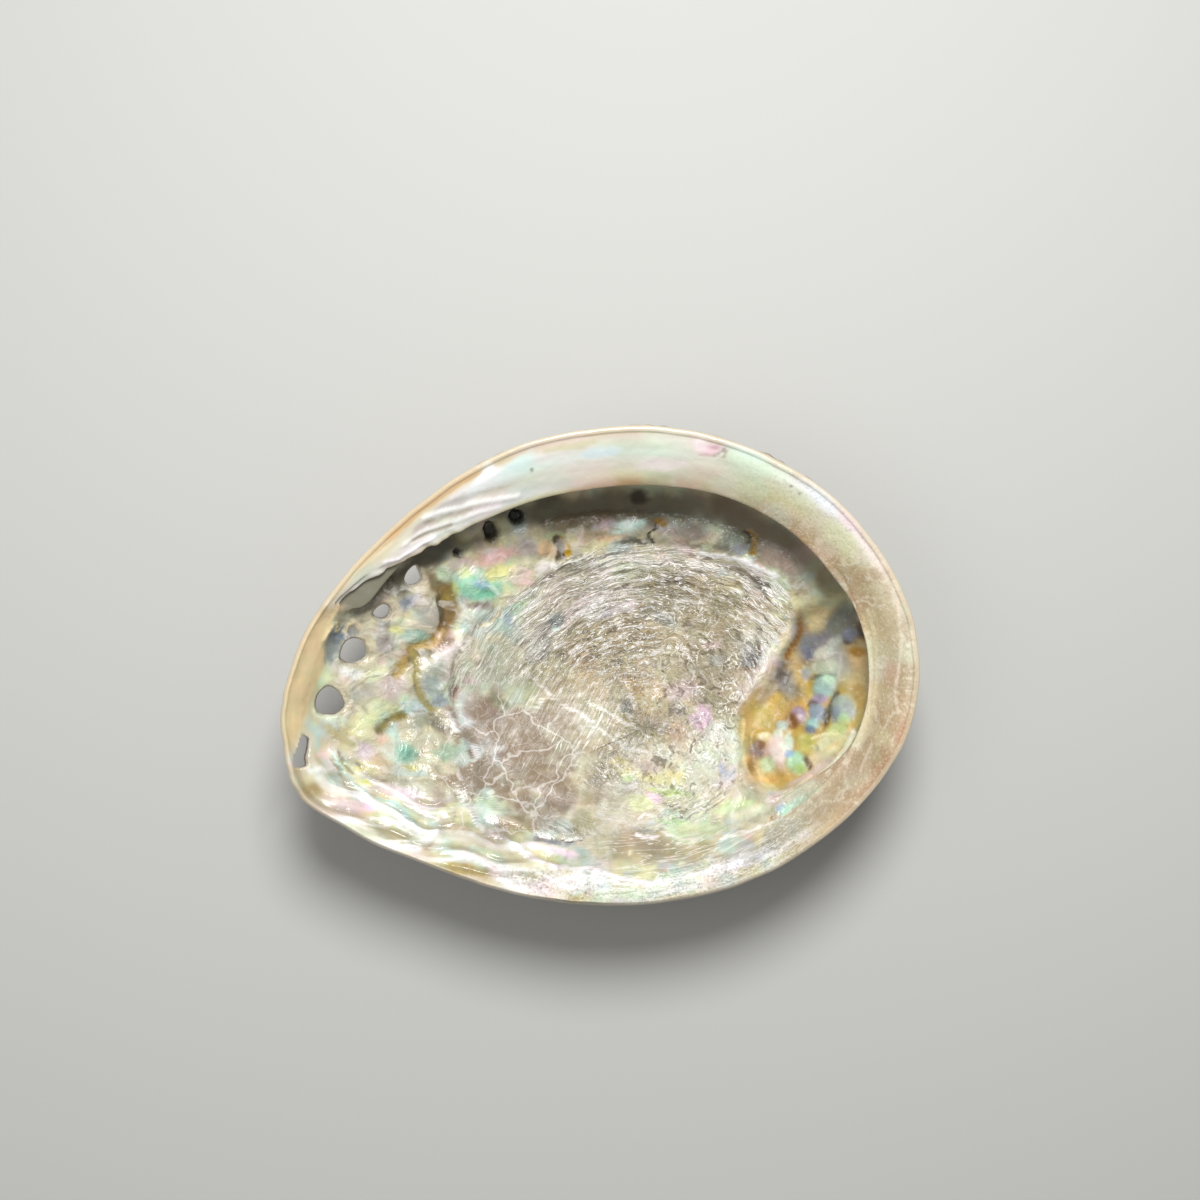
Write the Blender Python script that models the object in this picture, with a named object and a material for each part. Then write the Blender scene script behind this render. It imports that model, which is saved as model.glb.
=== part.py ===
"""Abalone shell, one grown piece, lying on its convex back with the hollow side up.

Lengths below are in millimetres and are turned into metres when the mesh is made.
The shell is a closed loft: an outer sheet and an inner sheet, both measured out from
one pole on the floor of the dome, and joined along the rim. Places inside the hollow
are given as they are seen from the eye point above it, where the shelf hides the rest.
"""

import math

import bmesh
import bpy
import numpy as np
from mathutils import Matrix, Vector

NAME = "abalone_shell"
MM = 0.001

# Whole shell
DEPTH = 38.0
POLE = (8.0, 0.0)
WORN_AWAY = 0.9
# Least swelling allowed by the rim's outline
LEAST_ROOM = 0.05
EYE = (0.0, 16.06)
EYE_HEIGHT = 400.0

# Rim seen from above: x, y and height over the rim plane, anticlockwise from the spire end
RIM = (
    (75.2, -2.2, 1.3), (74.6, 7.5, 1.2), (72.0, 16.6, 0.9), (68.1, 24.4, 0.6), (63.0, 32.1, 0.2),
    (55.8, 39.8, -0.2), (46.6, 46.4, -0.5), (37.4, 51.3, -0.7), (28.2, 54.6, -0.8),
    (17.8, 56.7, -0.8), (6.6, 57.2, -0.8), (-8.7, 55.4, -0.7), (-19.0, 52.6, -0.5),
    (-27.2, 49.0, -0.3), (-44.6, 37.2, 0.2), (-59.9, 22.3, 0.8), (-69.2, 9.0, 1.3),
    (-72.9, -0.5, 1.6), (-75.1, -13.0, 1.7), (-74.6, -19.6, 1.5), (-73.3, -25.7, 1.1),
    (-70.3, -30.9, 0.6), (-64.0, -35.5, 0.0), (-54.8, -41.1, -0.6), (-42.5, -46.3, -1.4),
    (-31.3, -50.3, -0.9), (-19.0, -54.0, -1.6), (-5.6, -56.0, -1.1), (4.6, -56.5, -1.5),
    (14.8, -55.7, -1.2), (27.0, -53.4, -1.3), (39.3, -48.8, -0.9), (49.6, -42.7, -0.5),
    (58.9, -35.0, 0.1), (66.0, -26.8, 0.7), (71.2, -18.7, 1.1), (73.7, -11.5, 1.3),
)

# Wall: direction in degrees, lean of the wall at the rim, its reach, and how far out the floor turns up
WALL = (
    (-165.0, 114.0, 17.0, 0.52), (-140.0, 126.0, 19.0, 0.50), (-90.0, 127.0, 21.0, 0.50),
    (-50.0, 100.0, 22.0, 0.60), (0.0, 85.0, 22.0, 0.65), (45.0, 79.0, 22.0, 0.65),
    (90.0, 79.0, 22.0, 0.62), (135.0, 92.0, 20.0, 0.58), (165.0, 106.0, 17.0, 0.55),
)
EDGE_THICKNESS = 1.5
WALL_THICKNESS = 3.0
FLOOR_THICKNESS = 4.4
# Thickening: width of the edge's band, where the floor's begins, and its width
EDGE_BAND = 9.0
FLOOR_BAND_START = 12.0
FLOOR_BAND = 26.0

# Shelf: direction in degrees, width, drop of its inner edge, and how fully it stands off the wall
SHELF = (
    (-175.0, 4.0, 6.0, 0.0), (-150.0, 6.0, 8.0, 0.0), (-110.0, 9.0, 12.0, 0.0),
    (-75.0, 9.5, 15.0, 0.0), (-56.0, 9.3, 14.6, 0.0), (-50.0, 9.1, 14.3, 0.2),
    (-43.6, 8.8, 13.6, 0.45), (-38.3, 8.6, 12.7, 0.65), (-31.3, 8.2, 11.5, 0.85),
    (-23.9, 8.4, 10.3, 1.0), (-16.6, 9.4, 9.6, 1.0), (-9.0, 9.8, 9.0, 1.0), (-0.6, 10.6, 8.4, 1.0),
    (8.0, 10.9, 7.8, 1.0), (17.5, 11.1, 7.4, 1.0), (25.7, 11.9, 7.1, 1.0), (36.1, 12.1, 6.8, 1.0),
    (54.1, 12.2, 6.4, 1.0),
    (64.9, 12.6, 6.2, 1.0), (77.9, 13.4, 6.0, 1.0), (91.5, 13.6, 6.0, 1.0), (105.0, 13.7, 6.0, 1.0),
    (116.7, 13.4, 5.8, 1.0), (125.6, 12.9, 5.4, 1.0), (133.3, 12.2, 5.0, 1.0), (140.2, 11.2, 4.5, 1.0),
    (148.5, 9.9, 3.8, 1.0), (155.5, 8.4, 3.0, 1.0), (161.4, 5.4, 2.4, 1.0), (165.0, 4.0, 2.0, 1.0),
    (167.5, 2.8, 1.9, 0.7), (169.5, 2.2, 1.8, 0.0),
)

# Spire: the apex on the plan, the height and the radius of its swelling
APEX = (55.0, 1.5)
SPIRE_HEIGHT = 4.2
SPIRE_RADIUS = 13.0

# Open holes, as seen: place, half-width, and how much longer than wide
OPEN_HOLES = (
    ((-69.5, -19.4), 1.6, 2.0, 82.0),
    ((-62.6, -6.9), 2.7, 1.08, 95.0),
    ((-56.9, 4.1), 2.5, 1.04, 90.0),
    ((-50.0, 13.4), 1.5, 1.15, 65.0),
    ((-42.8, 21.3), 1.7, 1.2, 70.0),
)
# Closed holes, as seen: place and radius
CLOSED_HOLES = (((-33.8, 27.6), 1.5), ((-26.0, 32.8), 1.9), ((-19.1, 35.9), 1.8))
CLOSED_HOLE_DEPTH = 1.7
# Plugs that cut the open holes: levels along the axis, half the length of the narrow throat,
# widening at its ends and beyond them, and how far the section is from round
PLUG_LEVELS = (-9.0, -3.2, -1.6, 0.0, 1.6, 3.2, 9.0)
PLUG_THROAT = 3.2
PLUG_FLARE = 0.9
PLUG_SPREAD = 0.5
PLUG_UNEVENNESS = 0.10
PLUG_CORNERS = 16
# Knobs along the row of old holes on the back, on the plan: place, radius and height
KNOBS = (
    ((-74.5, -18.5), 3.2, 0.8), ((-66.5, -6.2), 5.6, 1.9), ((-61.2, 5.4), 5.4, 2.0), ((-54.4, 15.4), 5.0, 2.0),
    ((-46.4, 23.8), 4.8, 1.9), ((-37.0, 30.6), 4.6, 1.8), ((-28.4, 36.0), 4.4, 1.7),
    ((-20.6, 39.6), 4.2, 1.6), ((-12.6, 42.2), 4.0, 1.5), ((-4.6, 44.0), 3.8, 1.4),
    ((3.2, 45.0), 3.6, 1.3), ((10.6, 45.3), 3.4, 1.2), ((17.6, 44.8), 3.2, 1.1),
    ((24.4, 43.6), 3.0, 1.0), ((31.0, 41.4), 2.9, 0.9), ((37.2, 38.4), 2.8, 0.9),
)

# Lumps of nacre inside, as seen: place, half-length, half-width, direction in degrees, height
LUMPS = (
    ((-17.7, 32.4), 4.6, 3.2, 20.0, 1.4),
    ((-9.0, 33.6), 4.2, 3.0, 5.0, 1.3),
    ((-0.5, 33.9), 4.4, 2.9, 0.0, 1.8),
    ((8.2, 33.9), 4.0, 2.9, 0.0, 1.9),
    ((17.7, 32.8), 5.0, 3.0, -10.0, 1.5),
    ((27.6, 30.0), 4.8, 3.0, -25.0, 1.3),
    ((34.6, 25.6), 4.0, 2.8, -45.0, 1.1),
    ((-40.6, 12.6), 6.2, 5.4, 40.0, 2.5),
    ((-33.2, 3.6), 5.4, 2.5, 70.0, 1.5),
    ((-30.0, 20.0), 6.0, 4.2, 30.0, 1.2),
    ((-46.5, -7.6), 6.5, 4.4, 15.0, 1.0),
    ((-43.0, -19.0), 7.0, 4.6, -15.0, 0.9),
    ((-54.0, -14.0), 5.0, 4.0, -30.0, 0.8),
    ((-53.5, -24.5), 9.0, 2.8, -32.0, 1.2),
    ((-37.0, -33.5), 10.0, 2.6, -36.0, 1.2),
    ((-40.0, -41.0), 9.0, 2.4, -22.0, 1.0),
    ((-22.0, -46.0), 11.0, 2.8, -26.0, 1.1),
    ((0.0, -48.0), 12.0, 3.0, -5.0, 0.7),
)
# Muscle scar: a low platform, as seen
SCAR_CENTRE = (2.0, -1.5)
SCAR_HALF = (36.0, 31.0)
SCAR_TURN = -12.0
SCAR_HEIGHT = 0.7

# Spire pit: its edge as seen, its depth below the floor, and the ridge round it
PIT_EDGE = (
    (37.3, -6.5), (34.0, -10.3), (33.3, -17.0), (33.8, -22.9), (35.9, -26.5), (40.0, -29.1),
    (45.3, -28.7), (50.8, -26.5), (56.5, -23.1), (62.5, -12.0), (64.0, -1.0), (63.0, 9.0),
    (58.0, 17.0), (52.7, 16.1), (47.2, 12.5), (45.0, 6.6), (41.5, 0.5),
)
PIT_DEPTH = 1.9
PIT_RIDGE = 0.9

# Pearls and knobs grown in the pit, as seen: place, half-length, half-width, direction, height
PEARL_SUNK = 0.3
PEARLS = (
    ((59.4, 7.2), 1.9, 1.6, 0.0, 1.5),
    ((52.0, 1.4), 6.2, 4.4, 70.0, 2.0),
    ((53.1, -4.3), 2.7, 2.6, 0.0, 2.6),
    ((47.1, -11.2), 2.0, 1.9, 0.0, 1.9),
    ((50.9, -12.4), 3.2, 1.8, 70.0, 2.0),
    ((57.9, -10.3), 3.8, 2.8, 100.0, 2.3),
    ((41.9, -19.7), 5.6, 3.0, 80.0, 2.4),
    ((46.8, -22.3), 2.7, 2.6, 0.0, 2.3),
    ((35.3, 2.9), 2.7, 1.8, 80.0, 1.2),
    ((38.2, -16.7), 2.1, 1.8, 0.0, 1.6),
)

# Fineness of the mesh
COLUMNS = 96
WALL_RINGS = 15
SHELF_RINGS = 11
OUTER_RINGS = 16
HALF_COLUMNS_FROM = 0.62
QUARTER_COLUMNS_FROM = 0.84
SITE_COLUMNS = 480
SITE_RINGS = 200
SHARP_DEGREES = 45.0

NACRE_COLOUR = (0.62, 0.58, 0.47, 1.0)


def clear_scene():
    for old in list(bpy.data.objects):
        bpy.data.objects.remove(old, do_unlink=True)


def smooth(value):
    """0 to 1 with flat ends."""
    clipped = np.clip(value, 0.0, 1.0)
    return clipped * clipped * (3.0 - 2.0 * clipped)


def closed_curve(points, per_span):
    """Smooth closed curve through hand-placed points."""
    points = np.array(points, float)
    ahead = np.roll(points, -1, axis=0) - points
    chord = np.linalg.norm(ahead[:, :2], axis=1)[:, None]
    before = np.roll(chord, 1, axis=0)
    slope = ahead / chord
    tangent = (np.roll(slope, 1, axis=0) * chord + slope * before) / (chord + before)
    after = np.roll(points, -1, axis=0)
    tangent_after = np.roll(tangent, -1, axis=0)
    spans = []
    for t in np.arange(per_span) / per_span:
        spans.append(
            (2 * t**3 - 3 * t**2 + 1) * points
            + (t**3 - 2 * t**2 + t) * chord * tangent
            + (3 * t**2 - 2 * t**3) * after
            + (t**3 - t**2) * chord * tangent_after
        )
    return np.stack(spans, axis=1).reshape(-1, points.shape[1])


def around(table, angle):
    """Values of a table of directions, smoothly between its rows and right round the shell."""
    rows = np.array(table, float)
    place = np.radians(rows[:, 0])
    values = rows[:, 1:]
    place = np.concatenate([place - 2 * math.pi, place, place + 2 * math.pi])
    values = np.concatenate([values, values, values])
    slope = np.gradient(values, place, axis=0)
    angle = np.asarray(angle)
    wrapped = np.mod(angle + math.pi, 2 * math.pi) - math.pi
    row = np.clip(np.searchsorted(place, wrapped) - 1, 0, len(place) - 2)
    span = (place[row + 1] - place[row])[..., None]
    t = ((wrapped - place[row])[..., None]) / span
    return (
        (2 * t**3 - 3 * t**2 + 1) * values[row]
        + (t**3 - 2 * t**2 + t) * span * slope[row]
        + (3 * t**2 - 2 * t**3) * values[row + 1]
        + (t**3 - t**2) * span * slope[row + 1]
    )


def shelf_rows(angle):
    """Width, drop and fullness of the shelf, the last of these straight between rows."""
    rows = np.array(SHELF)
    degrees = np.degrees(angle)
    width, drop, fullness = (np.interp(degrees, rows[:, 0], rows[:, item], period=360.0) for item in (1, 2, 3))
    return width, drop, smooth(fullness)


def rim_at(angle):
    """Radius and height of the rim in each direction from the pole."""
    curve = closed_curve(RIM, 16)
    across = curve[:, :2] - np.array(POLE)
    direction = np.arctan2(across[:, 1], across[:, 0])
    order = np.argsort(direction)
    radius = np.hypot(across[:, 0], across[:, 1])
    turn = 2 * math.pi
    return (
        np.interp(angle, direction[order], radius[order], period=turn),
        np.interp(angle, direction[order], curve[order, 2], period=turn),
    )


def column_angles(count):
    """Directions of the columns, closer together towards the spire."""
    fine = np.linspace(-math.pi, math.pi, 2001)
    density = 1.0 + 0.45 * np.exp(-((fine / 0.8) ** 2))
    total = np.concatenate([[0.0], np.cumsum((density[1:] + density[:-1]) / 2)])
    return np.interp(np.arange(count) / count, total / total[-1], fine)


class Sheets:
    """The outer and the inner sheet, along a set of directions from the pole."""

    def __init__(self, angle):
        self.angle = angle
        self.rim_radius, self.rim_height = rim_at(angle)
        lean, reach, turn = np.moveaxis(around(WALL, angle), -1, 0)
        self.radius_1 = self.rim_radius + reach * np.cos(np.radians(lean))
        self.height_0 = DEPTH + self.rim_height
        self.height_1 = self.height_0 - reach * np.sin(np.radians(lean))
        self.radius_2 = turn * self.rim_radius
        self.width, self.drop, self.fullness = shelf_rows(angle)
        self.wall_start = self.start_of_wall()

    def profile(self, t):
        """Radius, height and inward normal of the plain outer wall at t from 0, the rim, to 1, the pole."""
        s = 1.0 - t
        radius = s**3 * self.rim_radius + 3 * s**2 * t * self.radius_1 + 3 * s * t**2 * self.radius_2
        height = s**3 * self.height_0 + 3 * s**2 * t * self.height_1
        d_radius = (
            s**2 * (self.radius_1 - self.rim_radius)
            + 2 * s * t * (self.radius_2 - self.radius_1)
            - t**2 * self.radius_2
        )
        d_height = s**2 * (self.height_1 - self.height_0) - 2 * s * t * self.height_1
        length = np.hypot(d_radius, d_height)
        return radius, height, d_height / length, -d_radius / length

    def start_of_wall(self):
        """t at which the free wall begins under the shelf, or the same depth where there is no shelf."""
        steps = np.linspace(0.0, 0.8, 161)
        heights = np.stack([self.profile(t)[1] for t in steps])
        wanted = self.height_0 - np.clip(self.drop + 6.5, 9.0, 22.0)
        found = np.empty(len(self.angle))
        for column in range(len(self.angle)):
            found[column] = np.interp(-wanted[column], -heights[:, column], steps)
        return found

    def plan(self, radius):
        x = POLE[0] + radius * np.cos(self.angle)
        y = POLE[1] + radius * np.sin(self.angle)
        return x, y

    def place(self, radius, height):
        x, y = self.plan(radius)
        return np.stack([x, y, height], axis=-1)

    def thickness(self, t):
        inset = t * (self.rim_radius + 12.0)
        return (
            EDGE_THICKNESS
            + (WALL_THICKNESS - EDGE_THICKNESS) * smooth(inset / EDGE_BAND)
            + (FLOOR_THICKNESS - WALL_THICKNESS) * smooth((inset - FLOOR_BAND_START) / FLOOR_BAND)
        )

    def room(self, radius, height):
        """How far the back may swell before it would be seen past the rim from the eye point."""
        seen_radius = radius * EYE_HEIGHT / (EYE_HEIGHT + DEPTH - height)
        return np.maximum(self.rim_radius - seen_radius, LEAST_ROOM)

    def outer(self, t):
        radius, height, normal_r, normal_z = self.profile(t)
        x, y = self.plan(radius)
        out = spire_swelling(x, y) + knob_height(x, y) + folds_of_growth(x, y)
        room = self.room(radius, height)
        out = room * np.tanh(out / room)
        out = out * smooth(t / 0.06)
        return self.place(radius - out * normal_r, height - out * normal_z)

    def wall(self, t):
        """Inner face of the free wall and floor."""
        radius, height, normal_r, normal_z = self.profile(t)
        x, y = self.plan(radius)
        plain = self.thickness(t) - np.minimum(spire_swelling(x, y), self.room(radius, height))
        inner = self.place(radius + plain * normal_r, height + plain * normal_z)
        seen_x, seen_y = seen(inner)
        more = relief(seen_x, seen_y) * smooth((t - 0.02) / 0.1)
        deep = plain + more
        return self.place(radius + deep * normal_r, height + deep * normal_z)

    def inner(self, v):
        """Inner sheet at v from 0, the rim, over the shelf and under it to 0.5, and on to 1, the pole."""
        if v >= 0.5:
            return self.wall(self.wall_start + (1.0 - self.wall_start) * (v - 0.5) * 2.0)
        plain = self.wall(self.wall_start * v * 2.0)
        return plain + self.fullness[:, None] * (self.shelf(v * 2.0) - plain)

    def shelf(self, u):
        """The shelf at u from 0, the rim, to 1, where its underside meets the wall."""
        rim = self.rim_radius - EDGE_THICKNESS
        nose = self.rim_radius - self.width
        top = self.height_0
        width = rim - nose
        drop = self.drop
        end = self.wall(self.wall_start)
        end_radius = np.hypot(end[:, 0] - POLE[0], end[:, 1] - POLE[1])
        end_height = end[:, 2]
        knots = (0.0, 0.15, 0.32, 0.47, 0.56, 0.63, 0.71, 0.8, 0.9, 1.0)
        radii = (
            rim,
            rim - 0.22 * width,
            rim - 0.55 * width,
            nose + 1.3,
            nose + 0.1,
            nose + 0.25,
            np.minimum(nose + 0.9 + 0.1 * width, end_radius - 1.4),
            np.minimum(nose + 0.5 * width, end_radius - 1.4),
            end_radius - 1.2,
            end_radius,
        )
        heights = (
            top,
            top - 0.12 * drop,
            top - 0.5 * drop,
            top - drop + 0.55,
            top - drop - 0.5,
            top - drop - 1.4,
            top - drop - 2.2,
            top - drop - 2.8,
            (top - drop - 3.4 + end_height) / 2 + 0.8,
            end_height,
        )
        return self.place(between(knots, radii, u), between(knots, heights, u))


def between(knots, values, u):
    """Smoothly through values at unevenly spaced knots."""
    knots = np.array(knots)
    slope = np.gradient(np.stack(values), knots, axis=0)
    row = min(int(np.searchsorted(knots, u, side="right")) - 1, len(knots) - 2)
    span = knots[row + 1] - knots[row]
    t = (u - knots[row]) / span
    return (
        (2 * t**3 - 3 * t**2 + 1) * values[row]
        + (t**3 - 2 * t**2 + t) * span * slope[row]
        + (3 * t**2 - 2 * t**3) * values[row + 1]
        + (t**3 - t**2) * span * slope[row + 1]
    )


def seen(points):
    """Plan of a point as it is seen from the eye point, at the level of the rim."""
    scale = EYE_HEIGHT / (EYE_HEIGHT + DEPTH - points[..., 2])
    return (
        EYE[0] + (points[..., 0] - EYE[0]) * scale,
        EYE[1] + (points[..., 1] - EYE[1]) * scale,
    )


def mound(x, y, place, half_length, half_width, degrees):
    """1 at the middle of an oval lump, falling smoothly to nothing outside it."""
    turn = math.radians(degrees)
    along = (x - place[0]) * math.cos(turn) + (y - place[1]) * math.sin(turn)
    across = (y - place[1]) * math.cos(turn) - (x - place[0]) * math.sin(turn)
    return np.exp(-1.2 * ((along / half_length) ** 2 + (across / half_width) ** 2) ** 1.25)


def spire_swelling(x, y):
    off = np.hypot(x - APEX[0], y - APEX[1])
    return SPIRE_HEIGHT * np.exp(-((off / SPIRE_RADIUS) ** 2.4))


def knob_height(x, y):
    total = np.zeros_like(x)
    for place, radius, height in KNOBS:
        off = np.hypot(x - place[0], y - place[1])
        total += height * np.exp(-((off / radius) ** 2) * 1.3)
    return total


def folds_of_growth(x, y):
    """Broad, low waves round the spire, left by spells of growth."""
    off = np.hypot(x - APEX[0], y - APEX[1])
    strength = smooth((off - 20.0) / 20.0)
    return 0.35 * strength * np.sin(off / 3.4 + 0.9 * np.sin(off / 17.0))


def edge_distance(x, y, edge):
    """Signed distance to a closed line of points, more than 0 inside it."""
    nearest = np.full(x.shape, 1e9)
    inside = np.zeros(x.shape, bool)
    for start, end in zip(edge, np.roll(edge, -1, axis=0)):
        step = end - start
        t = np.clip(((x - start[0]) * step[0] + (y - start[1]) * step[1]) / (step @ step), 0.0, 1.0)
        nearest = np.minimum(nearest, np.hypot(x - start[0] - t * step[0], y - start[1] - t * step[1]))
        crosses = (start[1] > y) != (end[1] > y)
        rise = np.where(crosses, (y - start[1]) / (step[1] if abs(step[1]) > 1e-9 else 1e-9), 0.0)
        inside ^= crosses & (x < start[0] + rise * step[0])
    return np.where(inside, nearest, -nearest)


PIT_CURVE = closed_curve(PIT_EDGE, 3)


def relief(x, y):
    """Nacre added to the inner face, or left out of it, at a place as seen."""
    total = np.zeros_like(x)
    for place, half_length, half_width, degrees, height in LUMPS:
        total += height * mound(x, y, place, half_length, half_width, degrees)
    turn = math.radians(SCAR_TURN)
    along = (x - SCAR_CENTRE[0]) * math.cos(turn) + (y - SCAR_CENTRE[1]) * math.sin(turn)
    across = (y - SCAR_CENTRE[1]) * math.cos(turn) - (x - SCAR_CENTRE[0]) * math.sin(turn)
    off = np.hypot(along / SCAR_HALF[0], across / SCAR_HALF[1])
    total += SCAR_HEIGHT * smooth((1.06 - off) / 0.12)
    inside = edge_distance(x, y, PIT_CURVE)
    near_left = smooth((50.0 - x) / 8.0)
    total -= PIT_DEPTH * smooth((inside + 0.8) / 3.4)
    total += PIT_RIDGE * near_left * np.exp(-(((inside + 1.8) / 2.2) ** 2))
    return total


def stitch(faces, ring, inner_ring):
    """Faces between two rings, the second with as many corners or half as many."""
    count = len(inner_ring)
    halving = len(ring) // count == 2
    for j in range(count):
        k = (j + 1) % count
        if halving:
            a = ring[2 * j]
            b = ring[2 * j + 1]
            c = ring[(2 * j + 2) % len(ring)]
            faces += [(a, b, inner_ring[j]), (b, inner_ring[k], inner_ring[j]), (b, c, inner_ring[k])]
        else:
            faces += [(ring[j], ring[k], inner_ring[k]), (ring[j], inner_ring[k], inner_ring[j])]


def half_shell(vertices, faces, first, rings, pole_point):
    """One sheet from its rim ring to the pole, with fewer columns near the pole."""
    previous = first
    for step, points in rings:
        points = points[::step]
        ring = list(range(len(vertices), len(vertices) + len(points)))
        vertices.extend(points.tolist())
        stitch(faces, previous, ring)
        previous = ring
    pole = len(vertices)
    vertices.append(pole_point)
    for j, corner in enumerate(previous):
        faces.append((corner, previous[(j + 1) % len(previous)], pole))


def column_step(share):
    if share > QUARTER_COLUMNS_FROM:
        return 4
    return 2 if share > HALF_COLUMNS_FROM else 1


def shell_mesh():
    sheets = Sheets(column_angles(COLUMNS))
    outside = sheets.outer(0.0)
    inside = sheets.inner(0.0)
    edge = (outside + inside) / 2 + np.array([0.0, 0.0, 0.3 * EDGE_THICKNESS])
    vertices = edge.tolist()
    faces_in = []
    faces_out = []
    rim_ring = list(range(COLUMNS))

    inner_rings = []
    shelf_steps = np.linspace(0.0, 0.5, SHELF_RINGS, endpoint=False)
    wall_steps = 0.5 + 0.5 * (np.arange(WALL_RINGS) / (WALL_RINGS - 0.35)) ** 0.95
    for v in np.concatenate([shelf_steps, wall_steps]):
        inner_rings.append((column_step(2.0 * v - 1.0), sheets.inner(v)))
    floor = sheets.inner(1.0).mean(axis=0).tolist()
    half_shell(vertices, faces_in, rim_ring, inner_rings, floor)

    outer_rings = []
    for t in (np.arange(OUTER_RINGS) / (OUTER_RINGS - 0.4)) ** 0.9:
        outer_rings.append((column_step(t), sheets.outer(t)))
    bottom = sheets.outer(1.0).mean(axis=0).tolist()
    half_shell(vertices, faces_out, rim_ring, outer_rings, bottom)

    faces = faces_in + [face[::-1] for face in faces_out]
    mesh = bpy.data.meshes.new(NAME)
    mesh.from_pydata((np.array(vertices) * MM).tolist(), [], faces)
    return mesh


def wear_flat(mesh):
    """Wears the lowest part of the back to one flat patch and puts the middle of the footprint at 0, 0, 0."""
    shape = bmesh.new()
    shape.from_mesh(mesh)
    lowest = min(vertex.co.z for vertex in shape.verts)
    level = lowest + WORN_AWAY * MM
    everything = shape.verts[:] + shape.edges[:] + shape.faces[:]
    cut = bmesh.ops.bisect_plane(
        shape, geom=everything, dist=1e-7, plane_co=(0.0, 0.0, level), plane_no=(0.0, 0.0, -1.0), clear_outer=True
    )
    rim_edges = [item for item in cut["geom_cut"] if isinstance(item, bmesh.types.BMEdge)]
    bmesh.ops.contextual_create(shape, geom=rim_edges)
    across = [vertex.co.x for vertex in shape.verts]
    along = [vertex.co.y for vertex in shape.verts]
    shift = Vector((-(min(across) + max(across)) / 2, -(min(along) + max(along)) / 2, -level))
    bmesh.ops.translate(shape, verts=shape.verts[:], vec=shift)
    bmesh.ops.recalc_face_normals(shape, faces=shape.faces[:])
    shape.to_mesh(mesh)
    shape.free()
    return shift


class Sites:
    """Finds the place on the inner face that is seen at a given point, with the outer face under it."""

    def __init__(self, shift):
        sheets = Sheets(column_angles(SITE_COLUMNS))
        steps = np.linspace(0.05, 0.97, SITE_RINGS)
        self.inner = np.stack([sheets.wall(t) for t in steps])
        self.outer = np.stack([sheets.outer(t) for t in steps])
        self.hidden = (sheets.fullness > 0.0) & (steps[:, None] < sheets.wall_start)
        along = np.roll(self.inner, -1, axis=1) - np.roll(self.inner, 1, axis=1)
        down = np.gradient(self.inner, axis=0)
        normal = np.cross(along, down)
        normal *= np.sign(normal[..., 2:3])
        self.normal = normal / np.linalg.norm(normal, axis=-1, keepdims=True)
        self.seen_x, self.seen_y = seen(self.inner)
        self.shift = shift

    def at(self, place):
        off = np.hypot(self.seen_x - place[0], self.seen_y - place[1]) + 1e3 * self.hidden
        found = np.unravel_index(np.argmin(off), off.shape)
        inner = Vector(self.inner[found] * MM) + self.shift
        outer = Vector(self.outer[found] * MM) + self.shift
        return inner, outer, Vector(self.normal[found])


def frame_at(point, up, degrees):
    """Matrix with z along a given direction and x turned in the plan by an angle."""
    heading = Vector((math.cos(math.radians(degrees)), math.sin(math.radians(degrees)), 0.0))
    side = up.cross(heading).normalized()
    ahead = side.cross(up).normalized()
    return Matrix.Translation(point) @ Matrix((ahead, side, up)).transposed().to_4x4()


def mesh_object(name, mesh, collection):
    item = bpy.data.objects.new(name, mesh)
    collection.objects.link(item)
    return item


def hole_cutter(name, frame, half_width, length_ratio, collection):
    """A waisted plug with a rounded three-sided section, wider on both faces of the wall."""
    shape = bmesh.new()
    rings = []
    for level in PLUG_LEVELS:
        flare = PLUG_FLARE * (min(abs(level), PLUG_THROAT) / PLUG_THROAT) ** 2
        flare += PLUG_SPREAD * max(abs(level) - PLUG_THROAT, 0.0)
        ring = []
        for corner in range(PLUG_CORNERS):
            angle = 2 * math.pi * corner / PLUG_CORNERS
            radius = (half_width + flare) * (1.0 + PLUG_UNEVENNESS * math.cos(3 * angle))
            point = Vector((radius * length_ratio * math.cos(angle), radius * math.sin(angle), level)) * MM
            ring.append(shape.verts.new(frame @ point))
        rings.append(ring)
    for lower, upper in zip(rings, rings[1:]):
        for corner in range(PLUG_CORNERS):
            after = (corner + 1) % PLUG_CORNERS
            shape.faces.new((lower[corner], lower[after], upper[after], upper[corner]))
    shape.faces.new(rings[0][::-1])
    shape.faces.new(rings[-1])
    bmesh.ops.recalc_face_normals(shape, faces=shape.faces[:])
    mesh = bpy.data.meshes.new(name)
    shape.to_mesh(mesh)
    shape.free()
    return mesh_object(name, mesh, collection)


def ellipsoid(name, frame, half, collection, segments, rings):
    shape = bmesh.new()
    stretch = Matrix.Diagonal((half[0] * MM, half[1] * MM, half[2] * MM, 1.0))
    bmesh.ops.create_uvsphere(shape, u_segments=segments, v_segments=rings, radius=1.0, matrix=frame @ stretch)
    bmesh.ops.recalc_face_normals(shape, faces=shape.faces[:])
    mesh = bpy.data.meshes.new(name)
    shape.to_mesh(mesh)
    shape.free()
    return mesh_object(name, mesh, collection)


def combine(target, tool, operation):
    modifier = target.modifiers.new(tool.name, "BOOLEAN")
    modifier.object = tool
    modifier.operation = operation
    modifier.solver = "EXACT"


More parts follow.
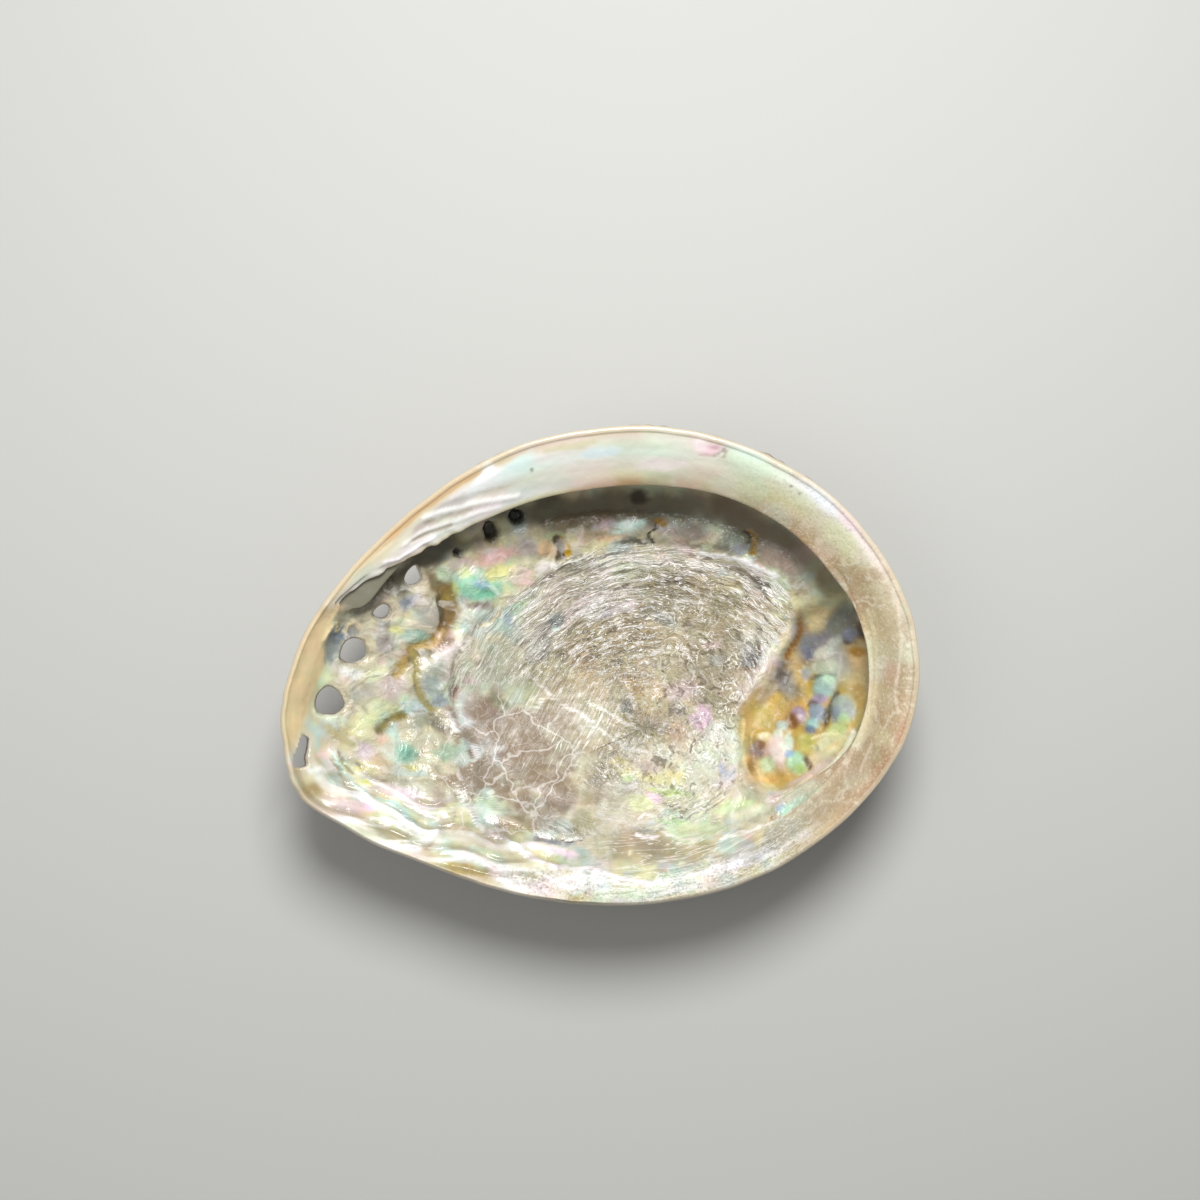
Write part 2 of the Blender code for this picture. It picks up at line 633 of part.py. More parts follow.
def add_holes(shell, sites, tools):
    upright = Vector((0.0, 0.0, 1.0))
    for number, (place, half_width, length_ratio, degrees) in enumerate(OPEN_HOLES, 1):
        inner, outer, normal = sites.at(place)
        axis = (normal + upright).normalized()
        frame = frame_at((inner + outer) / 2, axis, degrees)
        combine(shell, hole_cutter(f"open_hole_{number}", frame, half_width, length_ratio, tools), "DIFFERENCE")
    for number, (place, radius) in enumerate(CLOSED_HOLES, 1):
        inner, _, normal = sites.at(place)
        frame = frame_at(inner, normal, 0.0)
        half = (radius, radius, CLOSED_HOLE_DEPTH)
        combine(shell, ellipsoid(f"closed_hole_{number}", frame, half, tools, 12, 8), "DIFFERENCE")


def add_pearls(shell, sites, tools):
    for number, (place, half_length, half_width, degrees, height) in enumerate(PEARLS, 1):
        inner, _, normal = sites.at(place)
        frame = frame_at(inner - normal * PEARL_SUNK * MM, normal, degrees)
        combine(shell, ellipsoid(f"pearl_{number}", frame, (half_length, half_width, height), tools, 12, 8), "UNION")


def principled(name, colour, roughness):
    material = bpy.data.materials.new(name)
    material.use_nodes = True
    shader = material.node_tree.nodes["Principled BSDF"]
    shader.inputs["Base Color"].default_value = colour
    shader.inputs["Roughness"].default_value = roughness
    return material


def build():
    clear_scene()
    parts = bpy.data.collections.new(NAME)
    tools = bpy.data.collections.new("cutters")
    bpy.context.scene.collection.children.link(parts)
    bpy.context.scene.collection.children.link(tools)
    mesh = shell_mesh()
    shift = wear_flat(mesh)
    shell = mesh_object("shell", mesh, parts)
    shell.data.materials.append(principled("nacre", NACRE_COLOUR, 0.28))
    shell.data.shade_smooth()
    shell.data.set_sharp_from_angle(angle=math.radians(SHARP_DEGREES))
    sites = Sites(shift)
    add_holes(shell, sites, tools)
    add_pearls(shell, sites, tools)
    tools.hide_render = True
    for tool in tools.objects:
        tool.hide_render = True
        tool.display_type = "WIRE"


build()
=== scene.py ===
"""Abalone shell lying on its back, seen from straight above its hollow side.

Lengths are millimetres until the mesh is made. Places inside the hollow are given in view
units, 1200 to the side of the picture, counted from its upper left corner.
"""

import math

import bmesh
import bpy
import numpy as np
from mathutils import Matrix, Vector
from mathutils.kdtree import KDTree


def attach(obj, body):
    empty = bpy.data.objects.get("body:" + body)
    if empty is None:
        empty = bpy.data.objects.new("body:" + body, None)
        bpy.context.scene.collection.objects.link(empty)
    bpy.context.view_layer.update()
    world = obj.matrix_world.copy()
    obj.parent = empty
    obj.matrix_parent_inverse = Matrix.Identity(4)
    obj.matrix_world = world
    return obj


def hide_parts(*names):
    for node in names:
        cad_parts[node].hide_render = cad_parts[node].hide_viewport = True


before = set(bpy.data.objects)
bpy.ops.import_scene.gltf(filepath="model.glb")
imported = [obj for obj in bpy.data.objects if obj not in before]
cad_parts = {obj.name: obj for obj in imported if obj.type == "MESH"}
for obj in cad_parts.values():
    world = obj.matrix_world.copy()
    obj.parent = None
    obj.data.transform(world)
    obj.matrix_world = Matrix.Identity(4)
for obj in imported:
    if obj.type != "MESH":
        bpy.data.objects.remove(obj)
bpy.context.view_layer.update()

MM = 0.001

# Depth of the shell, the eye point over the hollow, and one view unit at the level of the rim
DEPTH = 38.0
EYE = (0.0, 16.06)
EYE_HEIGHT = 400.0
VIEW_UNIT = 0.23622
VIEW_SIDE = 1200.0

# Whole shell
POLE = (8.0, 0.0)
WORN_AWAY = 0.9
# Least swelling allowed by the rim's outline
LEAST_ROOM = 0.05

# Rim seen from above: x, y and height over the rim plane, anticlockwise from the spire end
RIM = (
    (75.2, -2.2, 1.3), (74.6, 7.5, 1.2), (72.0, 16.6, 0.9), (68.1, 24.4, 0.6), (63.0, 32.1, 0.2),
    (55.8, 39.8, -0.2), (46.6, 46.4, -0.5), (37.4, 51.3, -0.7), (28.2, 54.6, -0.8),
    (17.8, 56.7, -0.8), (6.6, 57.2, -0.8), (-8.7, 55.4, -0.7), (-19.0, 52.6, -0.5),
    (-27.2, 49.0, -0.3), (-44.6, 37.2, 0.2), (-59.9, 22.3, 0.8), (-69.2, 9.0, 1.3),
    (-72.9, -0.5, 1.6), (-75.1, -13.0, 1.7), (-74.6, -19.6, 1.5), (-73.3, -25.7, 1.1),
    (-70.3, -30.9, 0.6), (-64.0, -35.5, 0.0), (-54.8, -41.1, -0.6), (-42.5, -46.3, -1.4),
    (-31.3, -50.3, -0.9), (-19.0, -54.0, -1.6), (-5.6, -56.0, -1.1), (4.6, -56.5, -1.5),
    (14.8, -55.7, -1.2), (27.0, -53.4, -1.3), (39.3, -48.8, -0.9), (49.6, -42.7, -0.5),
    (58.9, -35.0, 0.1), (66.0, -26.8, 0.7), (71.2, -18.7, 1.1), (73.7, -11.5, 1.3),
)

# Wall: direction in degrees, lean of the wall at the rim, its reach, and how far out the floor turns up
WALL = (
    (-165.0, 114.0, 17.0, 0.52), (-140.0, 126.0, 19.0, 0.50), (-90.0, 127.0, 21.0, 0.50),
    (-50.0, 100.0, 22.0, 0.60), (0.0, 85.0, 22.0, 0.65), (45.0, 79.0, 22.0, 0.65),
    (90.0, 79.0, 22.0, 0.62), (135.0, 92.0, 20.0, 0.58), (165.0, 106.0, 17.0, 0.55),
)
EDGE_THICKNESS = 1.5
WALL_THICKNESS = 3.0
FLOOR_THICKNESS = 4.4

# Shelf: direction in degrees, width, drop of its inner edge, and how fully it stands off the wall
SHELF = (
    (-175.0, 4.0, 6.0, 0.0), (-150.0, 6.0, 8.0, 0.0), (-110.0, 9.0, 12.0, 0.0),
    (-75.0, 9.5, 15.0, 0.0), (-56.0, 9.3, 14.6, 0.0), (-50.0, 9.1, 14.3, 0.2),
    (-43.6, 8.8, 13.6, 0.45), (-38.3, 8.6, 12.7, 0.65), (-31.3, 8.2, 11.5, 0.85),
    (-23.9, 8.4, 10.3, 1.0), (-16.6, 9.4, 9.6, 1.0), (-9.0, 9.8, 9.0, 1.0), (-0.6, 10.6, 8.4, 1.0),
    (8.0, 10.9, 7.8, 1.0), (17.5, 11.1, 7.4, 1.0), (25.7, 11.9, 7.1, 1.0), (36.1, 12.1, 6.8, 1.0),
    (54.1, 12.2, 6.4, 1.0),
    (64.9, 12.6, 6.2, 1.0), (77.9, 13.4, 6.0, 1.0), (91.5, 13.6, 6.0, 1.0), (105.0, 13.7, 6.0, 1.0),
    (116.7, 13.4, 5.8, 1.0), (125.6, 12.9, 5.4, 1.0), (133.3, 12.2, 5.0, 1.0), (140.2, 11.2, 4.5, 1.0),
    (148.5, 9.9, 3.8, 1.0), (155.5, 8.4, 3.0, 1.0), (161.4, 5.4, 2.4, 1.0), (165.0, 4.0, 2.0, 1.0),
    (167.5, 2.8, 1.9, 0.7), (169.5, 2.2, 1.8, 0.0),
)

# Spire: the apex on the plan, the height and the radius of its swelling
APEX = (55.0, 1.5)
SPIRE_HEIGHT = 4.2
SPIRE_RADIUS = 13.0

# Knobs along the row of old holes on the back, on the plan: place, radius and height
KNOBS = (
    ((-74.5, -18.5), 3.2, 0.8), ((-66.5, -6.2), 5.6, 1.9), ((-61.2, 5.4), 5.4, 2.0),
    ((-54.4, 15.4), 5.0, 2.0), ((-46.4, 23.8), 4.8, 1.9), ((-37.0, 30.6), 4.6, 1.8),
    ((-28.4, 36.0), 4.4, 1.7),
    ((-20.6, 39.6), 4.2, 1.6), ((-12.6, 42.2), 4.0, 1.5), ((-4.6, 44.0), 3.8, 1.4),
    ((3.2, 45.0), 3.6, 1.3), ((10.6, 45.3), 3.4, 1.2), ((17.6, 44.8), 3.2, 1.1),
    ((24.4, 43.6), 3.0, 1.0), ((31.0, 41.4), 2.9, 0.9), ((37.2, 38.4), 2.8, 0.9),
)

# Lumps of nacre inside, as seen: place, half-length, half-width, direction in degrees, height
LUMPS = (
    ((-17.7, 32.4), 4.6, 3.2, 20.0, 1.4),
    ((-9.0, 33.6), 4.2, 3.0, 5.0, 1.3),
    ((-0.5, 33.9), 4.4, 2.9, 0.0, 1.8),
    ((8.2, 33.9), 4.0, 2.9, 0.0, 1.9),
    ((17.7, 32.8), 5.0, 3.0, -10.0, 1.5),
    ((27.6, 30.0), 4.8, 3.0, -25.0, 1.3),
    ((34.6, 25.6), 4.0, 2.8, -45.0, 1.1),
    ((-40.6, 12.6), 6.2, 5.4, 40.0, 2.5),
    ((-33.2, 3.6), 5.4, 2.5, 70.0, 1.5),
    ((-30.0, 20.0), 6.0, 4.2, 30.0, 1.2),
    ((-46.5, -7.6), 6.5, 4.4, 15.0, 1.0),
    ((-43.0, -19.0), 7.0, 4.6, -15.0, 0.9),
    ((-54.0, -14.0), 5.0, 4.0, -30.0, 0.8),
    ((-53.5, -24.5), 9.0, 2.8, -32.0, 1.2),
    ((-37.0, -33.5), 10.0, 2.6, -36.0, 1.2),
    ((-40.0, -41.0), 9.0, 2.4, -22.0, 1.0),
    ((-22.0, -46.0), 11.0, 2.8, -26.0, 1.1),
    ((0.0, -48.0), 12.0, 3.0, -5.0, 0.7),
)
SCAR_CENTRE = (2.0, -1.5)
SCAR_HALF = (36.0, 31.0)
SCAR_TURN = -12.0
SCAR_HEIGHT = 0.7

# Spire pit: its edge as seen, its depth below the floor, and the ridge round it
PIT_EDGE = (
    (37.3, -6.5), (34.0, -10.3), (33.3, -17.0), (33.8, -22.9), (35.9, -26.5), (40.0, -29.1),
    (45.3, -28.7), (50.8, -26.5), (56.5, -23.1), (62.5, -12.0), (64.0, -1.0), (63.0, 9.0),
    (58.0, 17.0), (52.7, 16.1), (47.2, 12.5), (45.0, 6.6), (41.5, 0.5),
)
PIT_DEPTH = 1.9
PIT_RIDGE = 0.9

# Outlines of the open holes, in view units
OPEN_HOLES = (
    ((306, 733), (312, 736), (312.5, 745), (310.5, 756), (311, 762), (298, 763), (296.7, 758), (300, 747)),
    ((333, 683), (340, 686), (346, 694), (348.5, 703), (343, 709), (334, 711), (324, 708), (321.5, 702),
     (324, 690)),
    ((360, 638.5), (366, 640), (371, 648), (372, 656), (366, 661), (353, 662.5), (347, 657), (348, 649),
     (353, 641)),
    ((391, 603.5), (395, 606), (395.5, 613), (391, 617.5), (385, 617), (380.5, 613)),
    ((420, 570), (424, 577), (425.5, 585), (421, 589), (413, 588.5), (410, 584.5), (413, 575)),
)
# Closed holes and dimples, in view units: place, half-length, half-width, direction, depth in millimetres
CLOSED_HOLES = (
    (457, 552, 4.5, 7, 60, 1.3), (490, 532, 8, 10.5, 25, 1.9), (517, 517, 7.5, 9.5, 20, 1.9),
    (815, 747.5, 2.4, 2.4, 0, 0.6),
)

# Fineness of the mesh
COLUMNS = 512
SHELF_RINGS = 54
WALL_RINGS = 92
OUTER_RINGS = 66
EDGE_RINGS = 5
HALF_COLUMNS_FROM = 0.62
QUARTER_COLUMNS_FROM = 0.84

# Edge of the muscle scar in view units
SCAR_EDGE = (
    (452, 668), (466, 632), (500, 604), (536, 582), (562, 561), (602, 549), (652, 546), (704, 551),
    (752, 568), (788, 592), (792, 618), (768, 650), (752, 690), (742, 735), (736, 780), (715, 810),
    (660, 828), (598, 838), (545, 832), (505, 815), (482, 795), (478, 765), (466, 738), (452, 715),
)

# Edge of the shaded wall under the shelf, in view units
RECESS_EDGE = (
    (398, 590), (412, 572), (440, 562), (470, 545), (520, 530), (570, 517), (610, 512), (660, 514),
    (710, 522), (750, 538), (790, 556), (812, 590), (840, 600), (860, 580), (800, 500), (700, 460),
    (600, 450), (500, 480), (440, 520), (390, 555),
)

# Edge of the smooth tan margin beside the holes, in view units
MARGIN_EDGE = (
    (350, 582), (343, 606), (333, 622), (329, 645), (322, 672), (312, 694), (306, 716), (297, 728),
    (290, 752), (285, 770), (274, 760), (276, 700), (290, 650), (310, 610),
)

# Relief and colour of the floor, in view units: u, v, half-length, half-width, direction,
# colour, strength and height in millimetres
FLOOR_PATCHES = (
    # wall and recess under the shelf: mostly painted shade under the shelf over its own brown, and one dark
    # stain
    (600, 508, 170, 22, 2, (112, 104, 84), 0.9, 0),
    (760, 530, 80, 26, -35, (132, 118, 98), 0.9, 0),
    (432, 546, 62, 17, 36, (84, 80, 66), 0.9, 0),
    (402, 580, 20, 12, 45, (86, 80, 62), 0.85, 0),
    (468, 545, 18, 10, 10, (96, 92, 76), 0.7, 0),
    (835, 585, 30, 18, -55, (140, 128, 98), 0.7, 0),
    (545, 500, 12, 10, 0, (92, 84, 66), 0.6, 0.2),
    (640, 497, 12, 9, 0, (58, 48, 26), 0.9, 0),
    (575, 520, 40, 8, 8, (136, 124, 104), 0.6, 0.3),
    # margin by the holes
    (302, 650, 60, 18, 68, (206, 190, 156), 0.95, 0),
    (296, 720, 34, 14, 88, (208, 190, 154), 0.9, 0),
    (308, 700, 12, 30, 0, (196, 178, 146), 0.6, 0),
    # painted shade under the tip of the shelf, lighter by its end and dark by the fifth hole
    (340, 608, 20, 10, 50, (176, 162, 132), 0.8, 0),
    (368, 601, 30, 13, 32, (116, 112, 94), 0.9, 0),
    (386, 581, 22, 11, 38, (78, 74, 58), 0.95, 0),
    (335, 648, 20, 9, 76, (142, 148, 142), 0.95, -0.5),
    (339, 634, 10, 7, 40, (110, 118, 130), 0.95, -0.4),
    (352, 631, 8, 6, 0, (132, 136, 136), 0.8, -0.3),
    (354, 625, 10, 4, 40, (168, 166, 150), 0.8, 0),
    (388, 630, 16, 14, 0, (172, 168, 160), 0.7, 0),
    (385, 645, 12, 11, 0, (160, 154, 152), 0.8, 0.3),
    (352, 672, 15, 6, -8, (240, 242, 236), 0.9, 0.3),
    (382, 672, 16, 8, 25, (226, 230, 194), 0.9, 0.25),
    (362, 690, 16, 12, 0, (186, 176, 166), 0.7, 0.2),
    (392, 690, 20, 13, 20, (196, 182, 180), 0.85, 0.5),
    (345, 663, 6, 4, 0, (190, 180, 120), 0.7, 0),
    (333, 717, 22, 5, -12, (222, 230, 210), 0.85, 0.2),
    (340, 735, 26, 8, -30, (184, 176, 142), 0.85, 0.2),
    (380, 745, 20, 12, -20, (214, 208, 184), 0.7, 0),
    (383, 740, 8, 6, 0, (230, 190, 176), 0.7, 0),
    (325, 755, 12, 6, 0, (232, 212, 206), 0.8, 0),
    # boulders and hollows between the holes and the scar
    (410, 600, 14, 9, 30, (178, 176, 182), 0.85, 0.3),
    # painted shadow at the side of the boulder by the fourth hole
    (404, 602, 7, 6, 0, (122, 132, 140), 0.8, -0.2),
    (427, 612, 20, 15, -30, (180, 176, 168), 0.9, 0.5),
    (421, 600, 12, 5, -20, (214, 210, 204), 0.7, 0),
    (415, 637, 20, 8, -14, (160, 200, 184), 0.8, 0),
    (398, 630, 12, 6, -10, (220, 222, 164), 0.85, 0),
    (437, 640, 6, 4, 0, (214, 206, 130), 0.8, 0),
    (430, 632, 14, 4, -28, (232, 206, 186), 0.6, 0),
    (445, 597, 8, 12, 20, (128, 102, 52), 0.8, -0.2),
    (474, 586, 30, 20, -10, (150, 204, 174), 0.9, 0.2),
    (452, 592, 9, 12, 0, (198, 206, 138), 0.8, 0),
    (480, 583, 10, 7, 0, (142, 184, 206), 0.8, 0.15),
    (466, 572, 8, 5, 0, (222, 226, 168), 0.7, 0),
    (486, 593, 14, 6, 0, (124, 190, 158), 0.7, 0),
    (500, 573, 20, 8, 8, (232, 220, 160), 0.75, 0),
    (497, 556, 24, 10, 12, (230, 190, 190), 0.9, 0.25),
    (527, 548, 18, 10, -5, (186, 176, 176), 0.8, 0.4),
    (480, 545, 16, 9, 0, (176, 166, 150), 0.7, 0),
    (481, 607, 15, 6, 0, (156, 148, 142), 0.9, -0.3),
    (481, 607, 7, 2.5, 0, (96, 84, 80), 0.8, -0.3),
    (472, 618, 20, 7, 10, (192, 200, 188), 0.8, 0.2),
    (545, 548, 11, 11, 0, (206, 178, 142), 0.9, 0.5),
    (545, 566, 12, 5, 10, (238, 232, 226), 0.85, 0.2),
    (561, 550, 4.5, 12, -22, (66, 50, 26), 0.95, -0.6),
    (567, 549, 4, 10, -18, (196, 160, 56), 0.95, -0.3),
    (572, 540, 9, 6, 0, (186, 206, 130), 0.8, 0),
    (553, 536, 12, 4, 10, (176, 190, 140), 0.7, 0),
    (523, 608, 24, 9, 42, (178, 214, 150), 0.9, 0),
    (507, 620, 20, 12, 50, (176, 206, 184), 0.85, 0),
    (508, 620, 9, 8, 0, (160, 170, 184), 0.7, 0),
    (530, 600, 9, 8, 0, (176, 216, 168), 0.7, 0),
    (446, 655, 32, 9, 39, (216, 208, 202), 0.98, 1.0),
    (430, 684, 18, 16, 0, (166, 172, 168), 0.9, 0.5),
    (436, 668, 14, 8, 20, (206, 212, 196), 0.7, 0.3),
    (448, 672, 10, 7, 40, (186, 176, 172), 0.7, 0.3),
    (440, 702, 10, 8, -20, (148, 160, 172), 0.85, -0.2),
    (455, 692, 5, 10, -18, (146, 100, 72), 0.95, -0.3),
    (452, 712, 9, 10, 0, (160, 140, 132), 0.8, 0),
    (418, 722, 13, 9, 0, (168, 172, 152), 0.9, 0.5),
    (438, 726, 15, 7, -28, (122, 120, 108), 0.85, -0.2),
    (405, 752, 14, 12, 0, (142, 186, 166), 0.9, 0.1),
    (408, 756, 7, 6, 0, (122, 170, 152), 0.6, 0),
    (412, 768, 10, 4, 0, (196, 190, 122), 0.8, 0),
    (446, 752, 15, 10, 0, (160, 182, 162), 0.85, 0),
    (470, 753, 4, 9, 15, (136, 108, 88), 0.9, -0.3),
    (425, 742, 24, 8, 0, (206, 206, 186), 0.7, 0.2),
    # pleats by the outer lip, with painted highlights on their ridges and painted shade in their grooves
    (365, 752, 10, 10, 0, (216, 194, 206), 0.8, 0),
    (381, 765, 17, 9, -62, (216, 196, 170), 0.9, 0.4),
    (350, 776, 32, 7, -46, (240, 242, 206), 0.95, 0.4),
    (360, 770, 7, 5, 0, (236, 236, 158), 0.8, 0),
    (367, 784, 6, 4, 0, (232, 234, 132), 0.8, 0),
    (322, 769, 20, 4, 4, (246, 246, 240), 0.9, 0.3),
    (315, 788, 22, 9, -14, (176, 156, 120), 0.95, -0.3),
    (303, 793, 8, 6, -40, (160, 138, 104), 0.7, 0),
    (347, 787, 12, 5, -40, (176, 170, 148), 0.8, -0.2),
    (350, 806, 30, 7, -8, (240, 226, 222), 0.9, 0.2),
    (372, 807, 7, 6, -30, (236, 204, 234), 0.8, 0),
    (366, 793, 7, 8, -40, (252, 252, 248), 0.9, 0.2),
    (400, 812, 26, 6, -38, (204, 242, 238), 0.95, 0.5),
    (418, 808, 28, 5, -30, (178, 168, 150), 0.85, -0.3),
    (398, 792, 26, 7, -12, (236, 220, 230), 0.85, 0.3),
    (408, 826, 20, 4, -30, (148, 146, 138), 0.85, -0.4),
    (386, 832, 36, 8, -6, (178, 170, 144), 0.95, -0.2),
    (392, 847, 32, 5, -8, (250, 248, 250), 0.95, 0.3),
    (432, 836, 16, 6, 30, (240, 222, 226), 0.85, 0.3),
    (432, 846, 14, 3.5, 35, (196, 178, 166), 0.8, -0.2),
    (405, 782, 26, 6, -4, (196, 190, 172), 0.8, 0),
    (440, 790, 26, 8, -6, (204, 202, 180), 0.8, 0),
    (452, 811, 20, 11, 0, (238, 242, 200), 0.95, 0.2),
    (482, 812, 18, 9, -25, (196, 222, 208), 0.85, 0),
    (446, 822, 18, 5, -25, (242, 232, 214), 0.8, 0.2),
    (468, 838, 28, 7, -20, (216, 202, 180), 0.9, -0.2),
    (450, 851, 18, 5, -8, (236, 248, 242), 0.9, 0.2),
    (468, 872, 34, 9, -20, (188, 166, 114), 0.95, -0.1),
    (497, 885, 10, 5, -10, (180, 170, 116), 0.8, 0),
    (478, 858, 24, 5, -25, (244, 232, 230), 0.8, 0.2),
    (508, 852, 30, 6, -32, (214, 208, 182), 0.85, -0.1),
    (512, 880, 24, 9, -20, (248, 244, 248), 0.9, 0.1),
    (540, 892, 24, 7, -10, (240, 230, 230), 0.85, 0),
    (577, 898, 17, 5, 2, (194, 178, 132), 0.95, 0),
    (545, 872, 40, 7, -12, (236, 226, 206), 0.8, 0),
    (560, 884, 34, 8, -6, (246, 238, 236), 0.8, 0),
    (628, 893, 34, 7, 2, (222, 234, 212), 0.9, 0),
    (680, 889, 40, 6, 12, (224, 218, 220), 0.8, 0),
    (690, 897, 50, 4, 12, (206, 186, 156), 0.8, 0),
    (545, 838, 14, 5, -12, (126, 124, 130), 0.85, -0.2),
    (560, 842, 22, 4, -10, (140, 148, 158), 0.8, -0.1),
    (540, 848, 16, 4, -20, (246, 242, 246), 0.9, 0.2),
    (562, 852, 18, 5, -18, (238, 220, 232), 0.85, 0.1),
    (581, 852, 12, 6, -30, (166, 190, 182), 0.85, 0),
    # lower floor
    (640, 846, 54, 19, -4, (172, 162, 138), 0.95, 0),
    (690, 852, 28, 12, 6, (182, 172, 142), 0.85, 0),
    (760, 850, 50, 10, 20, (186, 180, 172), 0.8, 0),
    (740, 862, 60, 7, 18, (226, 222, 224), 0.8, 0.15),
    (800, 850, 40, 8, 38, (200, 188, 160), 0.8, 0),
    (630, 853, 3.5, 3, 0, (224, 216, 190), 0.9, 0.1),
    (683, 863, 4, 3, 0, (232, 226, 196), 0.9, 0.1),
    (790, 828, 36, 9, 32, (178, 174, 160), 0.85, 0),
    (822, 800, 30, 12, 42, (174, 168, 150), 0.85, 0),
    (840, 818, 24, 9, 48, (196, 172, 136), 0.8, 0),
    (850, 800, 20, 9, 55, (176, 148, 120), 0.8, 0),
    (805, 812, 16, 7, 20, (196, 200, 180), 0.8, 0),
    # scar colours
    (620, 690, 120, 110, 20, (184, 168, 132), 0.95, 0),
    (560, 600, 60, 26, 40, (188, 178, 158), 0.9, 0),
    (690, 598, 70, 32, -14, (164, 152, 124), 0.85, 0),
    (716, 655, 40, 66, 0, (150, 136, 104), 0.9, 0),
    (600, 640, 54, 24, 24, (166, 150, 116), 0.85, 0),
    (655, 640, 60, 10, 2, (168, 148, 106), 0.7, 0),
    (590, 605, 50, 12, 28, (222, 208, 206), 0.7, 0),
    (620, 608, 30, 8, 20, (228, 214, 224), 0.7, 0),
    (540, 645, 26, 16, 60, (176, 172, 168), 0.75, 0),
    (500, 660, 26, 30, 0, (172, 172, 148), 0.85, 0),
    (480, 650, 16, 10, 0, (206, 208, 190), 0.6, 0.2),
    (492, 715, 34, 18, 78, (142, 120, 106), 0.95, 0),
    (476, 705, 14, 18, 0, (178, 158, 148), 0.7, 0),
    (503, 706, 18, 8, -40, (140, 142, 108), 0.85, 0),
    (530, 692, 8, 12, 0, (172, 176, 134), 0.7, 0),
    (515, 746, 13, 6, 0, (158, 136, 92), 0.9, 0),
    (527, 742, 7, 5, 0, (170, 138, 92), 0.8, 0),
    (519, 768, 40, 10, -38, (134, 106, 88), 0.95, 0),
    (500, 785, 22, 9, -20, (150, 146, 126), 0.85, 0),
    (560, 797, 24, 15, 0, (136, 122, 108), 0.95, 0),
    (525, 803, 20, 9, -20, (150, 152, 138), 0.85, 0),
    (520, 823, 36, 9, -6, (166, 148, 116), 0.85, 0),
    (592, 795, 16, 12, 60, (172, 152, 112), 0.85, 0),
    (582, 825, 18, 14, 70, (178, 166, 128), 0.8, 0),
    (545, 745, 60, 44, 60, (172, 162, 134), 0.8, 0),
    (590, 728, 26, 8, -25, (206, 202, 184), 0.5, 0),
    (600, 770, 40, 24, 0, (190, 182, 150), 0.8, 0),
    (620, 800, 30, 16, -20, (176, 166, 144), 0.8, 0),
    (626, 710, 9, 14, -15, (116, 120, 110), 0.9, 0),
    (640, 728, 32, 9, -28, (186, 174, 116), 0.9, 0),
    (645, 702, 13, 22, 15, (202, 182, 132), 0.85, 0),
    (660, 690, 12, 10, 0, (196, 160, 118), 0.7, 0),
    (634, 686, 8, 14, 45, (184, 152, 92), 0.85, 0),
    (684, 690, 18, 14, 0, (196, 172, 170), 0.8, 0),
    (676, 712, 10, 9, 0, (118, 110, 104), 0.7, 0),
    (678, 728, 10, 9, 0, (192, 154, 106), 0.8, 0),
    (703, 716, 14, 12, 20, (206, 170, 194), 0.85, 0),
    (712, 645, 9, 5, 0, (226, 186, 196), 0.85, 0),
    (716, 660, 8, 7, 0, (176, 186, 190), 0.8, 0),
    (668, 620, 20, 9, -30, (112, 126, 122), 0.8, -0.2),
    (648, 611, 14, 5, 30, (118, 122, 106), 0.8, 0),
    (556, 620, 10, 7, 40, (112, 128, 130), 0.85, 0),
    (556, 627, 5, 2.5, 0, (214, 240, 228), 0.9, 0),
    (672, 580, 12, 5, 10, (92, 94, 92), 0.9, -0.2),
    (712, 583, 36, 8, -6, (198, 182, 142), 0.95, 0),
    (735, 604, 40, 11, -12, (184, 166, 128), 0.8, 0),
    (758, 583, 24, 5, -35, (106, 100, 90), 0.95, -0.2),
    (735, 570, 36, 5, -22, (150, 140, 120), 0.8, 0),
    (730, 615, 12, 8, 0, (170, 172, 122), 0.8, 0),
    (650, 750, 50, 12, -10, (206, 202, 178), 0.7, 0),
    (720, 740, 20, 20, 0, (212, 214, 196), 0.8, 0),
    (625, 768, 20, 8, -30, (222, 216, 152), 0.85, 0),
    (628, 777, 9, 5, 0, (212, 240, 180), 0.9, 0),
    (646, 775, 8, 6, 0, (238, 216, 204), 0.85, 0),
    (668, 778, 28, 9, -4, (222, 214, 146), 0.9, 0),
    (640, 803, 18, 10, -10, (222, 232, 172), 0.8, 0),
    (656, 797, 10, 5, -25, (236, 198, 216), 0.95, 0),
    (675, 793, 30, 4, -12, (196, 216, 126), 0.9, 0),
    (673, 812, 9, 6, -20, (176, 220, 206), 0.9, 0),
    (672, 822, 16, 4, -4, (196, 228, 168), 0.85, 0),
    (700, 805, 40, 13, 0, (224, 218, 182), 0.85, 0),
    (735, 806, 20, 7, 10, (206, 228, 176), 0.8, 0),
    (722, 768, 4, 9, 20, (160, 176, 206), 0.6, 0),
    (750, 812, 26, 9, 12, (222, 228, 202), 0.85, 0),
    (705, 828, 40, 6, 2, (204, 208, 176), 0.85, 0),
    (749, 655, 9, 12, -8, (122, 120, 122), 0.95, 0.7),
    (745, 651, 4, 5, 0, (164, 166, 162), 0.7, 0),
    (758, 650, 3, 9, 5, (112, 78, 44), 0.9, -0.3),
    (750, 668, 7, 3, 0, (132, 98, 58), 0.8, -0.2),
    # knobs under the shelf
    (622, 527, 30, 8, 4, (212, 232, 224), 0.95, 0.3),
    (605, 524, 12, 6, 10, (196, 186, 190), 0.8, 0.1),
    (612, 537, 20, 4, 6, (222, 190, 160), 0.8, 0),
    (590, 535, 30, 7, 18, (196, 180, 156), 0.8, 0),
    (634, 541, 24, 4, 2, (96, 92, 82), 0.9, -0.3),
    (661, 521, 7, 5, 0, (148, 112, 38), 0.95, -0.4),
    (690, 532, 30, 10, 0, (158, 150, 142), 0.9, 0.3),
